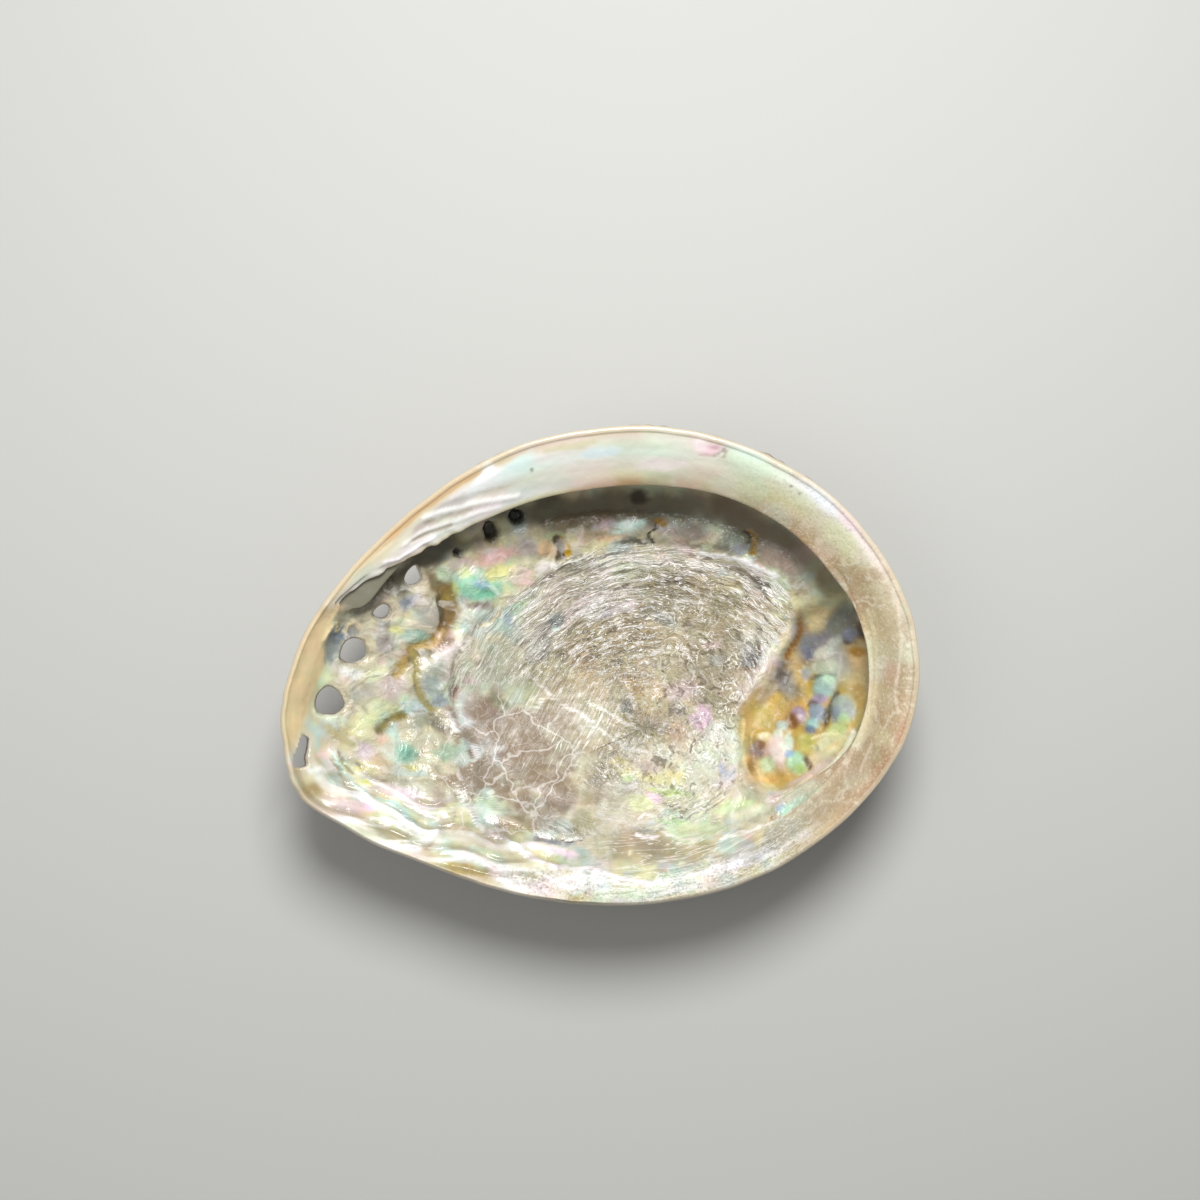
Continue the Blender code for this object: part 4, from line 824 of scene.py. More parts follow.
def column_angles(count):
    """Directions of the columns, closer together towards the spire."""
    fine = np.linspace(-math.pi, math.pi, 2001)
    density = 1.0 + 0.45 * np.exp(-((fine / 0.8) ** 2))
    total = np.concatenate([[0.0], np.cumsum((density[1:] + density[:-1]) / 2)])
    return np.interp(np.arange(count) / count, total / total[-1], fine)


def lattice(column, row, seed):
    """A random number from 0 to 1 for each corner of a grid."""
    mixed = (column * 374761393 + row * 668265263 + seed * 362437) & 0x7FFFFFFF
    mixed = ((mixed ^ (mixed >> 13)) * 1274126177) & 0x7FFFFFFF
    return ((mixed ^ (mixed >> 16)) & 0xFFFF) / 65535.0


def noise(x, y, seed):
    """Smooth random field from 0 to 1, with cells one unit wide."""
    column = np.floor(x).astype(np.int64)
    row = np.floor(y).astype(np.int64)
    right = smooth(x - column)
    up = smooth(y - row)
    low = lattice(column, row, seed) * (1 - right) + lattice(column + 1, row, seed) * right
    high = lattice(column, row + 1, seed) * (1 - right) + lattice(column + 1, row + 1, seed) * right
    return low * (1 - up) + high * up


def cloud(x, y, size, seed, octaves=3):
    """Noise in several sizes, about 0 to 1."""
    total = np.zeros_like(x)
    whole = 0.0
    for octave in range(octaves):
        scale = 2.0**octave / size
        total += noise(x * scale + 31.7 * octave, y * scale - 12.3 * octave, seed + octave) / 2.0**octave
        whole += 1.0 / 2.0**octave
    return total / whole


def creases(x, y, size, seed):
    """Sharp ridges, as on crumpled foil, about 0 to 1."""
    total = np.zeros_like(x)
    for octave in range(3):
        scale = 2.0**octave / size
        level = noise(x * scale + 17.3 * octave, y * scale + 5.1 * octave, seed + octave)
        total += (1.0 - np.abs(2.0 * level - 1.0)) / 2.0**octave
    return total / 1.75


class Sheets:
    """The outer and the inner sheet, along a set of directions from the pole."""

    def __init__(self, angle):
        self.angle = angle
        self.rim_radius, self.rim_height = rim_at(angle)
        lean, reach, turn = np.moveaxis(around(WALL, angle), -1, 0)
        self.radius_1 = self.rim_radius + reach * np.cos(np.radians(lean))
        self.height_0 = DEPTH + self.rim_height
        self.height_1 = self.height_0 - reach * np.sin(np.radians(lean))
        self.radius_2 = turn * self.rim_radius
        self.width, self.drop, self.fullness = shelf_rows(angle)
        self.wall_start = self.start_of_wall()

    def profile(self, t):
        """Radius, height and inward normal of the plain outer wall at t from 0, the rim, to 1, the pole."""
        s = 1.0 - t
        radius = s**3 * self.rim_radius + 3 * s**2 * t * self.radius_1 + 3 * s * t**2 * self.radius_2
        height = s**3 * self.height_0 + 3 * s**2 * t * self.height_1
        d_radius = (
            s**2 * (self.radius_1 - self.rim_radius)
            + 2 * s * t * (self.radius_2 - self.radius_1)
            - t**2 * self.radius_2
        )
        d_height = s**2 * (self.height_1 - self.height_0) - 2 * s * t * self.height_1
        length = np.hypot(d_radius, d_height)
        return radius, height, d_height / length, -d_radius / length

    def start_of_wall(self):
        """t at which the free wall begins under the shelf, or the same depth where there is no shelf."""
        steps = np.linspace(0.0, 0.8, 161)
        heights = np.stack([self.profile(t)[1] for t in steps])
        wanted = self.height_0 - np.clip(self.drop + 6.5, 9.0, 22.0)
        found = np.empty(len(self.angle))
        for column in range(len(self.angle)):
            found[column] = np.interp(-wanted[column], -heights[:, column], steps)
        return found

    def plan(self, radius):
        x = POLE[0] + radius * np.cos(self.angle)
        y = POLE[1] + radius * np.sin(self.angle)
        return x, y

    def place(self, radius, height):
        x, y = self.plan(radius)
        return np.stack([x, y, height], axis=-1)

    def thickness(self, t):
        inset = t * (self.rim_radius + 12.0)
        return (
            EDGE_THICKNESS
            + (WALL_THICKNESS - EDGE_THICKNESS) * smooth(inset / 9.0)
            + (FLOOR_THICKNESS - WALL_THICKNESS) * smooth((inset - 12.0) / 26.0)
        )

    def room(self, radius, height):
        """How far the back may swell before it would be seen past the rim from the eye point."""
        seen_radius = radius * EYE_HEIGHT / (EYE_HEIGHT + DEPTH - height)
        return np.maximum(self.rim_radius - seen_radius, LEAST_ROOM)

    def outer(self, t):
        radius, height, normal_r, normal_z = self.profile(t)
        x, y = self.plan(radius)
        out = spire_swelling(x, y) + knob_height(x, y) + folds_of_growth(x, y)
        room = self.room(radius, height)
        out = room * np.tanh(out / room)
        out = out * smooth(t / 0.06)
        return self.place(radius - out * normal_r, height - out * normal_z)

    def wall(self, t):
        """Inner face of the free wall and floor."""
        radius, height, normal_r, normal_z = self.profile(t)
        x, y = self.plan(radius)
        plain = self.thickness(t) - np.minimum(spire_swelling(x, y), self.room(radius, height))
        inner = self.place(radius + plain * normal_r, height + plain * normal_z)
        seen_x, seen_y = seen(inner)
        more = relief(seen_x, seen_y) * smooth((t - 0.02) / 0.1)
        deep = plain + more
        return self.place(radius + deep * normal_r, height + deep * normal_z)

    def inner(self, v):
        """Inner sheet at v from 0, the rim, over the shelf and under it to 0.5, and on to 1, the pole."""
        if v >= 0.5:
            return self.wall(self.wall_start + (1.0 - self.wall_start) * (v - 0.5) * 2.0)
        plain = self.wall(self.wall_start * v * 2.0)
        return plain + self.fullness[:, None] * (self.shelf(v * 2.0) - plain)

    def shelf(self, u):
        """The shelf at u from 0, the rim, to 1, where its underside meets the wall."""
        rim = self.rim_radius - EDGE_THICKNESS
        nose = self.rim_radius - self.width
        top = self.height_0
        width = rim - nose
        drop = self.drop
        end = self.wall(self.wall_start)
        end_radius = np.hypot(end[:, 0] - POLE[0], end[:, 1] - POLE[1])
        end_height = end[:, 2]
        knots = (0.0, 0.15, 0.32, 0.47, 0.56, 0.63, 0.71, 0.8, 0.9, 1.0)
        radii = (
            rim,
            rim - 0.22 * width,
            rim - 0.55 * width,
            nose + 1.3,
            nose + 0.1,
            nose + 0.25,
            np.minimum(nose + 0.9 + 0.1 * width, end_radius - 1.4),
            np.minimum(nose + 0.5 * width, end_radius - 1.4),
            end_radius - 1.2,
            end_radius,
        )
        heights = (
            top,
            top - 0.12 * drop,
            top - 0.5 * drop,
            top - drop + 0.55,
            top - drop - 0.5,
            top - drop - 1.4,
            top - drop - 2.2,
            top - drop - 2.8,
            (top - drop - 3.4 + end_height) / 2 + 0.8,
            end_height,
        )
        return self.place(between(knots, radii, u), between(knots, heights, u))


def between(knots, values, u):
    """Smoothly through values at unevenly spaced knots."""
    knots = np.array(knots)
    slope = np.gradient(np.stack(values), knots, axis=0)
    row = min(int(np.searchsorted(knots, u, side="right")) - 1, len(knots) - 2)
    span = knots[row + 1] - knots[row]
    t = (u - knots[row]) / span
    return hermite(values[row], values[row + 1], slope[row], slope[row + 1], span, t)


def seen(points):
    """Plan of a point as it is seen from the eye point, at the level of the rim."""
    scale = EYE_HEIGHT / (EYE_HEIGHT + DEPTH - points[..., 2])
    return (
        EYE[0] + (points[..., 0] - EYE[0]) * scale,
        EYE[1] + (points[..., 1] - EYE[1]) * scale,
    )


def view_place(points):
    """View units of points."""
    x, y = seen(points)
    return VIEW_SIDE / 2 + (x - EYE[0]) / VIEW_UNIT, VIEW_SIDE / 2 - (y - EYE[1]) / VIEW_UNIT


def turned(x, y, place, degrees):
    """Distances from a place, along a direction and across it."""
    turn = math.radians(degrees)
    along = (x - place[0]) * math.cos(turn) + (y - place[1]) * math.sin(turn)
    across = (y - place[1]) * math.cos(turn) - (x - place[0]) * math.sin(turn)
    return along, across


def mound(x, y, place, half_length, half_width, degrees):
    """1 at the middle of an oval lump, falling smoothly to nothing outside it."""
    along, across = turned(x, y, place, degrees)
    return np.exp(-1.2 * ((along / half_length) ** 2 + (across / half_width) ** 2) ** 1.25)


def spire_swelling(x, y):
    off = np.hypot(x - APEX[0], y - APEX[1])
    return SPIRE_HEIGHT * np.exp(-((off / SPIRE_RADIUS) ** 2.4))


def knob_height(x, y):
    total = np.zeros_like(x)
    for place, radius, height in KNOBS:
        off = np.hypot(x - place[0], y - place[1])
        total += height * np.exp(-((off / radius) ** 2) * 1.3)
    return total


def folds_of_growth(x, y):
    """Broad, low waves round the spire, left by spells of growth."""
    off = np.hypot(x - APEX[0], y - APEX[1])
    strength = smooth((off - 20.0) / 20.0)
    return 0.35 * strength * np.sin(off / 3.4 + 0.9 * np.sin(off / 17.0))


def edge_distance(x, y, edge):
    """Signed distance to a closed line of points, more than 0 inside it."""
    nearest = np.full(x.shape, 1e9)
    inside = np.zeros(x.shape, bool)
    for start, end in zip(edge, np.roll(edge, -1, axis=0)):
        nearest = np.minimum(nearest, span_distance(x, y, start, end))
        crosses = (start[1] > y) != (end[1] > y)
        rise = end[1] - start[1]
        share = (y - start[1]) / (rise if abs(rise) > 1e-9 else 1e-9)
        inside ^= crosses & (x < start[0] + share * (end[0] - start[0]))
    return np.where(inside, nearest, -nearest)


def span_distance(x, y, start, end):
    """Distance to one straight span."""
    step_x = end[0] - start[0]
    step_y = end[1] - start[1]
    t = np.clip(((x - start[0]) * step_x + (y - start[1]) * step_y) / (step_x**2 + step_y**2), 0.0, 1.0)
    return np.hypot(x - start[0] - t * step_x, y - start[1] - t * step_y)


def line_distance(x, y, points):
    nearest = np.full(x.shape, 1e9)
    for start, end in zip(points, points[1:]):
        nearest = np.minimum(nearest, span_distance(x, y, start, end))
    return nearest


PIT_CURVE = closed_curve(PIT_EDGE, 3)
SCAR_CURVE = closed_curve(SCAR_EDGE, 3)


def relief(x, y):
    """Nacre added to the inner face, or left out of it, at a place as seen."""
    total = np.zeros_like(x)
    for place, half_length, half_width, degrees, height in LUMPS:
        total += height * mound(x, y, place, half_length, half_width, degrees)
    along, across = turned(x, y, SCAR_CENTRE, SCAR_TURN)
    off = np.hypot(along / SCAR_HALF[0], across / SCAR_HALF[1])
    total += SCAR_HEIGHT * smooth((1.06 - off) / 0.12)
    inside = edge_distance(x, y, PIT_CURVE)
    near_left = smooth((50.0 - x) / 8.0)
    total -= PIT_DEPTH * smooth((inside + 0.8) / 3.4)
    total += PIT_RIDGE * near_left * np.exp(-(((inside + 1.8) / 2.2) ** 2))
    return total


def oval(u, v, place_u, place_v, half_length, half_width, degrees):
    """0 at the middle of an oval, 1 on its edge and more outside it."""
    along, across = turned(u, v, (place_u, place_v), -degrees)
    return np.hypot(along / half_length, across / half_width)


def cover(u, v, place, start, fade):
    """1 within an oval and 0 outside it, fading from start, in shares of its half-size."""
    return 1.0 - smooth((oval(u, v, *place) - start) / fade)


def wavered(u, v):
    """View units bent a little, so that patches and lines have natural edges."""
    bend_u = 7.0 * (cloud(u, v, 17.0, 5) - 0.5) + 2.4 * (noise(u / 4.1, v / 4.1, 21) - 0.5)
    bend_v = 7.0 * (cloud(u, v, 17.0, 9) - 0.5) + 2.4 * (noise(u / 4.1, v / 4.1, 33) - 0.5)
    return u + bend_u, v + bend_v


def ragged(u, v, patch, seed, raggedness=0.7):
    """Places near a patch and how far they are from its middle, with an uneven edge."""
    off = oval(u, v, *patch[:5])
    near = off < 1.9
    size = 0.9 * min(patch[2], patch[3]) + 3.0
    edge = cloud(u[near], v[near], size, seed, 2) - 0.5
    return near, off[near] + raggedness * edge


def raised(u, v, patches, lines):
    """Height of patches and lines."""
    total = np.zeros_like(u)
    for seed, patch in enumerate(patches):
        if patch[7]:
            near, off = ragged(u, v, patch, seed)
            total[near] += patch[7] * np.exp(-1.2 * np.clip(off, 0.0, None) ** 2.5)
    for points, half_width, _, _, height in lines:
        if height:
            off = line_distance(u, v, points) / max(half_width, 1.6)
            total += height * np.exp(-(off**2))
    return total


def linear(colour):
    """Linear light of a colour of 0 to 255."""
    share = np.array(colour, float) / 255.0
    return np.where(share <= 0.04045, share / 12.92, ((share + 0.055) / 1.055) ** 2.4)


def laid_over(paint, colour, amount):
    return paint + (linear(colour) - paint) * amount[..., None]


def painted(paint, u, v, patches, lines, raggedness=0.7):
    """Patches and then lines over the paint so far."""
    paint = paint.copy()
    for seed, patch in enumerate(patches):
        near, off = ragged(u, v, patch, seed, raggedness)
        paint[near] = laid_over(paint[near], patch[5], patch[6] * (1.0 - smooth((off - 0.45) / 0.75)))
    for points, half_width, colour, strength, _ in lines:
        off = line_distance(u, v, points) / half_width
        paint = laid_over(paint, colour, strength * (1.0 - smooth((off - 0.5) / 0.9)))
    return paint


def grid_normals(points):
    """Normals of a grid of rings and columns, upwards on the floor."""
    along = np.roll(points, -1, axis=1) - np.roll(points, 1, axis=1)
    down = np.gradient(points, axis=0)
    normal = np.cross(along, down)
    return normal / np.linalg.norm(normal, axis=-1, keepdims=True)


def inner_steps():
    """v of the rings of the inner sheet."""
    shelf = np.linspace(0.0, 0.5, SHELF_RINGS, endpoint=False)
    wall = 0.5 + 0.5 * (np.arange(WALL_RINGS) / (WALL_RINGS - 0.35)) ** 0.95
    return np.concatenate([shelf, wall])


class Inside:
    """The inner sheet with its fine relief and colours."""

    def __init__(self, sheets):
        self.steps = inner_steps()
        plain = np.stack([sheets.inner(v) for v in self.steps])
        share = self.steps[:, None] + 0.0 * sheets.angle
        self.on_shelf = sheets.fullness * smooth((0.47 - share) / 0.06)
        self.off_shelf = 1.0 - self.on_shelf
        self.from_rim = np.minimum(share * 2.0, 1.0)
        self.angle = np.broadcast_to(sheets.angle, share.shape)
        self.plain = plain
        self.u, self.v = view_place(plain)
        self.bent_u, self.bent_v = wavered(self.u, self.v)
        pit_edge = edge_distance(*seen(plain), PIT_CURVE) + 3.0 * (cloud(self.u, self.v, 22.0, 15, 2) - 0.5)
        self.in_pit = smooth((pit_edge + 1.8) / 3.0) * self.off_shelf
        self.in_scar = smooth((edge_distance(self.u, self.v, SCAR_CURVE) + 3.0) / 7.0) * (1.0 - self.in_pit)
        self.in_scar = self.in_scar * self.off_shelf
        self.in_recess = self.recess()
        self.inset = sheets.rim_radius - np.hypot(plain[..., 0] - POLE[0], plain[..., 1] - POLE[1])
        self.pleats = self.folds_by_lip()
        lower = smooth((self.v - 752.0 - 0.3 * (self.u - 330.0)) / 26.0) * smooth((600.0 - self.u) / 90.0)
        self.in_pleats = lower * (1.0 - self.in_scar)
        self.points = plain + self.fine_relief()[..., None] * grid_normals(plain)

    def recess(self):
        """The shaded wall under the shelf."""
        edge = edge_distance(self.u, self.v, closed_curve(RECESS_EDGE, 3))
        return smooth((edge + 4.0) / 8.0)

    def folds_by_lip(self):
        """Broad folds that fan out along the outer lip, from -1 in a groove to 1 on a ridge."""
        bend = 9.0 * (cloud(self.u, self.v, 70.0, 501, 2) - 0.5)
        across = self.inset - 9.0 * self.angle + bend
        fold = np.sin(across * 1.05) + 0.4 * np.sin(across * 2.3 + 5.0 * cloud(self.u, self.v, 40.0, 511, 2))
        return np.clip(fold / 1.2, -1.0, 1.0)

    def fine_relief(self):
        u, v = self.u, self.v
        floor = 1.3 * raised(self.bent_u, self.bent_v, FLOOR_PATCHES, FLOOR_LINES)
        pit = 0.8 * raised(u, v, PIT_PATCHES, PIT_LINES)
        pit = pit + 0.7 * (cloud(u, v, 14.0, 61, 3) - 0.5)
        for *place, height in PEARLS:
            pit = pit + 0.62 * height * np.clip(1.0 - oval(u, v, *place) ** 2, 0.0, 1.0) ** 0.85
        left = smooth((500.0 - u) / 60.0) * smooth((u - 322.0) / 20.0) * (1.0 - self.in_pleats)
        facets = 1.3 * (creases(self.bent_u, self.bent_v, 30.0, 47) - 0.5)
        lumps = left * (1.5 * (cloud(u, v, 34.0, 41, 2) - 0.5) + facets)
        ripple = self.in_scar * (0.5 * (creases(self.bent_u, self.bent_v, 15.0, 57) - 0.5))
        total = (floor + lumps) * (1.0 - self.in_pit) + ripple + pit * self.in_pit
        total = total + raised(u, v, SEAM_PATCHES, SEAM_LINES)
        total = total + 0.55 * self.pleats * self.in_pleats
        for *place, depth in CLOSED_HOLES:
            total = total - depth * cover(self.bent_u, self.bent_v, place, 0.55, 0.5)
        for outline in OPEN_HOLES:
            lip = np.exp(-(((edge_distance(u, v, closed_curve(outline, 3)) + 4.5) / 3.0) ** 2))
            total = total + 0.35 * lip * smooth((u - 318.0) / 10.0)
        total = total * self.off_shelf * smooth((self.inset - 0.6) / 3.0)
        shelf = raised(u, v, SHELF_PATCHES, SHELF_LINES)
        grain = 0.16 * (cloud(self.angle * 30.0, self.inset * 1.5, 3.0, 77, 3) - 0.5)
        degrees = np.degrees(self.angle)
        torn = smooth((degrees - 136.0) / 8.0) * smooth((170.0 - degrees) / 6.0)
        wave = cloud(degrees / 2.0, 0.0 * degrees, 1.0, 83, 2) - 0.5
        grain = grain + 1.5 * torn * wave * np.exp(-(((self.from_rim - 0.55) / 0.09) ** 2))
        return total + (shelf + grain) * self.on_shelf * smooth((self.from_rim - 0.03) / 0.08)

    def colours(self):
        u, v, bent_u, bent_v = self.u, self.v, self.bent_u, self.bent_v
        paint = np.broadcast_to(linear((202, 196, 172)), self.plain.shape).copy()
        paint = self.with_sheen(paint)
        paint = painted(paint, bent_u, bent_v, FLOOR_PATCHES, FLOOR_LINES)
        pit = painted(paint, 0.3 * bent_u + 0.7 * u, 0.3 * bent_v + 0.7 * v, PIT_PATCHES, PIT_LINES, 0.5)
        paint = paint + (pit - paint) * self.in_pit[..., None]
        margin = smooth((edge_distance(u + 0.4 * (bent_u - u), v, closed_curve(MARGIN_EDGE, 3)) + 1.5) / 3.5)
        streaks = 0.9 + 0.2 * cloud(self.inset * 2.0, self.angle * 20.0, 3.0, 521, 3)
        tan = linear((212, 194, 158)) * streaks[..., None]
        paint = paint + (tan - paint) * (0.9 * margin * self.off_shelf)[..., None]
        paint = painted(paint, u, v, SEAM_PATCHES, SEAM_LINES, 0.4)
        # painted highlight on the ridges of the folds by the lip and painted shade in their grooves
        ridge_highlight = smooth(self.pleats * 0.9 + 0.1)
        paint = laid_over(paint, (252, 250, 246), 0.6 * ridge_highlight * self.in_pleats)
        groove_shade = smooth(-0.9 * self.pleats - 0.1)
        paint = laid_over(paint, (150, 138, 112), 0.55 * groove_shade * self.in_pleats)
        paint = self.with_depth(paint)
        for outline in OPEN_HOLES:
            off = edge_distance(u, v, closed_curve(outline, 3))
            paint = laid_over(paint, (222, 210, 184), 0.7 * smooth((off + 4.5) / 3.0) * self.off_shelf)
        # the closed holes are painted near black, as shade in their hollows
        for *place, _ in CLOSED_HOLES:
            amount = 0.95 * min(1.0, place[3] / 6.0) * cover(bent_u, bent_v, place, 0.6, 0.9)
            paint = laid_over(paint, (26, 23, 17), amount * self.off_shelf)
        shelf = self.shelf_colours()
        shelf = painted(shelf, 0.5 * (bent_u + u), 0.5 * (bent_v + v), SHELF_PATCHES, SHELF_LINES)
        paint = paint + (shelf - paint) * self.on_shelf[..., None]
        edge = 1.0 - smooth((self.inset - 0.6) / 1.0)
        return laid_over(paint, (232, 216, 182), 0.5 * edge * self.off_shelf)

    def with_sheen(self, paint):
        """Slow changes of hue, as thin layers of nacre give."""
        u, v = self.bent_u, self.bent_v
        hues = ((232, 200, 212, 101), (190, 226, 196, 131), (186, 214, 226, 151), (232, 226, 172, 171))
        for red, green, blue, seed in hues:
            amount = smooth((cloud(u, v, 26.0, seed, 3) - 0.54) / 0.12)
            paint = laid_over(paint, (red, green, blue), 0.4 * amount)
        return paint

    def with_depth(self, paint):
        """Small random changes of brightness and hue, deeper colours, lighter paint on the scar, darker paint
        on the lower side and the lower left of the scar to offset the light falling there, and painted shade
        on the recess under the shelf.
        """
        u, v = self.bent_u, self.bent_v
        shade = 0.5 * cloud(u, v, 18.0, 191, 4) + 0.5 * creases(u, v, 13.0, 197)
        tone = (cloud(u, v, 11.0, 211, 3) - 0.5)[..., None] * np.array((0.16, -0.02, -0.14))
        green = (cloud(u, v, 15.0, 217, 3) - 0.5)[..., None] * np.array((-0.10, 0.12, -0.02))
        lumps = smooth((480.0 - self.u) / 60.0) * (1.0 - self.in_pleats)
        quiet = (1.0 - 0.6 * self.in_recess - 0.35 * lumps * (1.0 - self.in_recess))[..., None]
        paint = paint * (1.0 + quiet * (0.75 * (shade - 0.5)[..., None] + tone + green))
        level = paint.mean(axis=-1, keepdims=True)
        deeper = (1.2 - 0.08 * self.in_pit - 0.24 * self.in_scar)[..., None]
        paint = np.clip(level + (paint - level) * deeper, 0.004, None)
        paint = paint * (level / 0.5) ** 0.12
        # darker paint on the lower side and the lower left of the scar offsets the light falling there, and
        # the recess gets painted shade
        lower = smooth((self.v - 640.0) / 160.0) * (1.0 - self.in_pit)
        left = smooth((640.0 - self.u) / 120.0) * smooth((self.v - 650.0) / 50.0) * self.in_scar
        light_offset_and_shade = 1.0 + 0.12 * self.in_scar - 0.12 * lower - 0.16 * self.in_recess - 0.2 * left
        return np.clip(paint * light_offset_and_shade[..., None], 0.0, 0.97)

    def shelf_colours(self):
        """Bands across the shelf, changing with the direction, with painted shade on its underside."""
        share = np.clip(self.inset - EDGE_THICKNESS * 0.6, 0.0, None)
        width = np.interp(np.degrees(self.angle), np.array(SHELF)[:, 0], np.array(SHELF)[:, 1], period=360.0)
        share = share / width + 0.05 * (cloud(self.u, self.v, 34.0, 201, 2) - 0.5)
        share = np.where(self.from_rim > 0.58, 1.05, share)
        rows = []
        for _, colours in SHELF_COLOURS:
            stops = linear(colours)
            bands = [np.interp(share, SHELF_STOPS, stops[:, channel]) for channel in range(3)]
            rows.append(np.stack(bands, axis=-1))
        directions = np.array([degrees for degrees, _ in SHELF_COLOURS])
        place = np.clip(np.degrees(self.angle), directions[0], directions[-1])
        row = np.clip(np.searchsorted(directions, place) - 1, 0, len(directions) - 2)
        t = smooth((place - directions[row]) / (directions[row + 1] - directions[row]))
        rows = np.stack(rows)
        low = np.take_along_axis(rows, row[None, ..., None], axis=0)[0]
        high = np.take_along_axis(rows, row[None, ..., None] + 1, axis=0)[0]
        paint = low + (high - low) * t[..., None]
        along = self.angle * 60.0
        streak = cloud(along / 4.0, self.inset * 1.4, 3.0, 221, 3)
        paint = paint * (0.84 + 0.32 * streak)[..., None]
        for colour, size, seed in (((240, 214, 218), 40.0, 231), ((206, 238, 214), 44.0, 241)):
            hue = smooth((cloud(self.u, self.v, size, seed) - 0.5) / 0.2)
            paint = laid_over(paint, colour, 0.25 * hue)
        right = smooth((60.0 - np.degrees(self.angle)) / 40.0)
        blotch = smooth((cloud(self.u, self.v, 26.0, 531, 3) - 0.5) / 0.14)
        paint = laid_over(paint, (178, 148, 114), 0.6 * blotch * right)
        lace = 1.0 - smooth(np.abs(cloud(self.u, self.v, 22.0, 541, 4) - 0.5) / 0.035)
        paint = laid_over(paint, (240, 230, 204), 0.6 * lace * right)
        degrees = np.degrees(self.angle)
        # painted shade on the underside of the shelf, grey at its left end and darker elsewhere
        underside_shade = smooth((self.from_rim - 0.57) / 0.06)
        paint = laid_over(paint, (124, 124, 108), 0.95 * underside_shade * smooth((degrees - 120.0) / 20.0))
        ends = np.maximum(smooth((-8.0 - degrees) / 15.0), smooth((degrees - 136.0) / 14.0))
        return laid_over(paint, (96, 88, 68), 0.92 * underside_shade * (1.0 - 0.85 * ends))

    def marks(self):
        """Strengths of striations, squiggles, scratches and frost, and then of fibres, foil and cobweb."""
        u, v = self.u, self.v
        squiggle = np.max([cover(u, v, place, 0.6, 0.6) for place in SQUIGGLES_AT], axis=0)
        scratch = cover(u, v, SCRATCHES_AT, 0.5, 0.6)
        web = cover(u, v, COBWEB_AT, 0.6, 0.5)
        web = web * smooth((v - 655.0) / 40.0) * smooth((u - 425.0) / 20.0) * smooth((855.0 - v) / 20.0)
        quiet = smooth((545.0 - u) / 50.0) * smooth((v - 590.0) / 30.0)
        worn = cover(u, v, WORN_AT, 0.6, 0.5)
        arcs = np.clip(1.0 - 0.75 * squiggle - 0.7 * scratch - web - 0.55 * quiet - 0.8 * worn, 0.0, 1.0)
        frost = np.max([cover(u, v, place, 0.6, 0.6) for place in FROST_AT], axis=0)
        frost = frost * (1.0 - self.in_scar) * (1.0 - self.in_pit)
        degrees = np.degrees(self.angle)
        right = smooth((degrees + 60.0) / 15.0) * smooth((75.0 - degrees) / 30.0)
        frost = np.maximum(frost * self.off_shelf, 0.42 * right * self.on_shelf)
        open_floor = (1.0 - self.in_scar) * self.off_shelf * (1.0 - self.in_pit) * (1.0 - self.in_recess)
        fibre = open_floor * smooth((v - 815.0) / 30.0) * smooth((u - 560.0) / 80.0)
        fibre = np.maximum(fibre, open_floor * smooth((v - 770.0) / 25.0) * smooth((u - 770.0) / 20.0))
        foil = open_floor * smooth((u - 322.0) / 16.0) * (1.0 - fibre) * (1.0 - 0.65 * self.in_pleats)
        on_scar = [share * self.in_scar for share in (arcs, squiggle, scratch)]
        return np.stack([*on_scar, frost], axis=-1), np.stack([fibre, foil, web * self.off_shelf], axis=-1)

    def flows(self):
        """Places along and across the striations, the scratches and the rim, in millimetres."""
        u, v = self.u, self.v
        along, across = turned(u, v, ARCS_CENTRE, -ARCS_TURN)
        along = along / ARCS_HALF[0]
        across = across / ARCS_HALF[1]
        ring = np.hypot(along, across)
        bearing = np.arctan2(across, along)
        bend = 10.0 * (cloud(u, v, 34.0, 301, 3) - 0.5)
        arc_flow = np.stack([bearing * 36.0, (ring * 155.0 + bend) * VIEW_UNIT, 0.0 * u], axis=-1)
        along, beside = turned(u, v, SCRATCHES_CENTRE, -SCRATCHES_TURN)
        scratch_flow = np.stack([along * VIEW_UNIT, (beside + 0.4 * bend) * VIEW_UNIT, 0.0 * u], axis=-1)
        rim_flow = np.stack([self.angle * 55.0, self.inset + 0.12 * bend, 0.0 * u], axis=-1)
        return arc_flow, scratch_flow, rim_flow


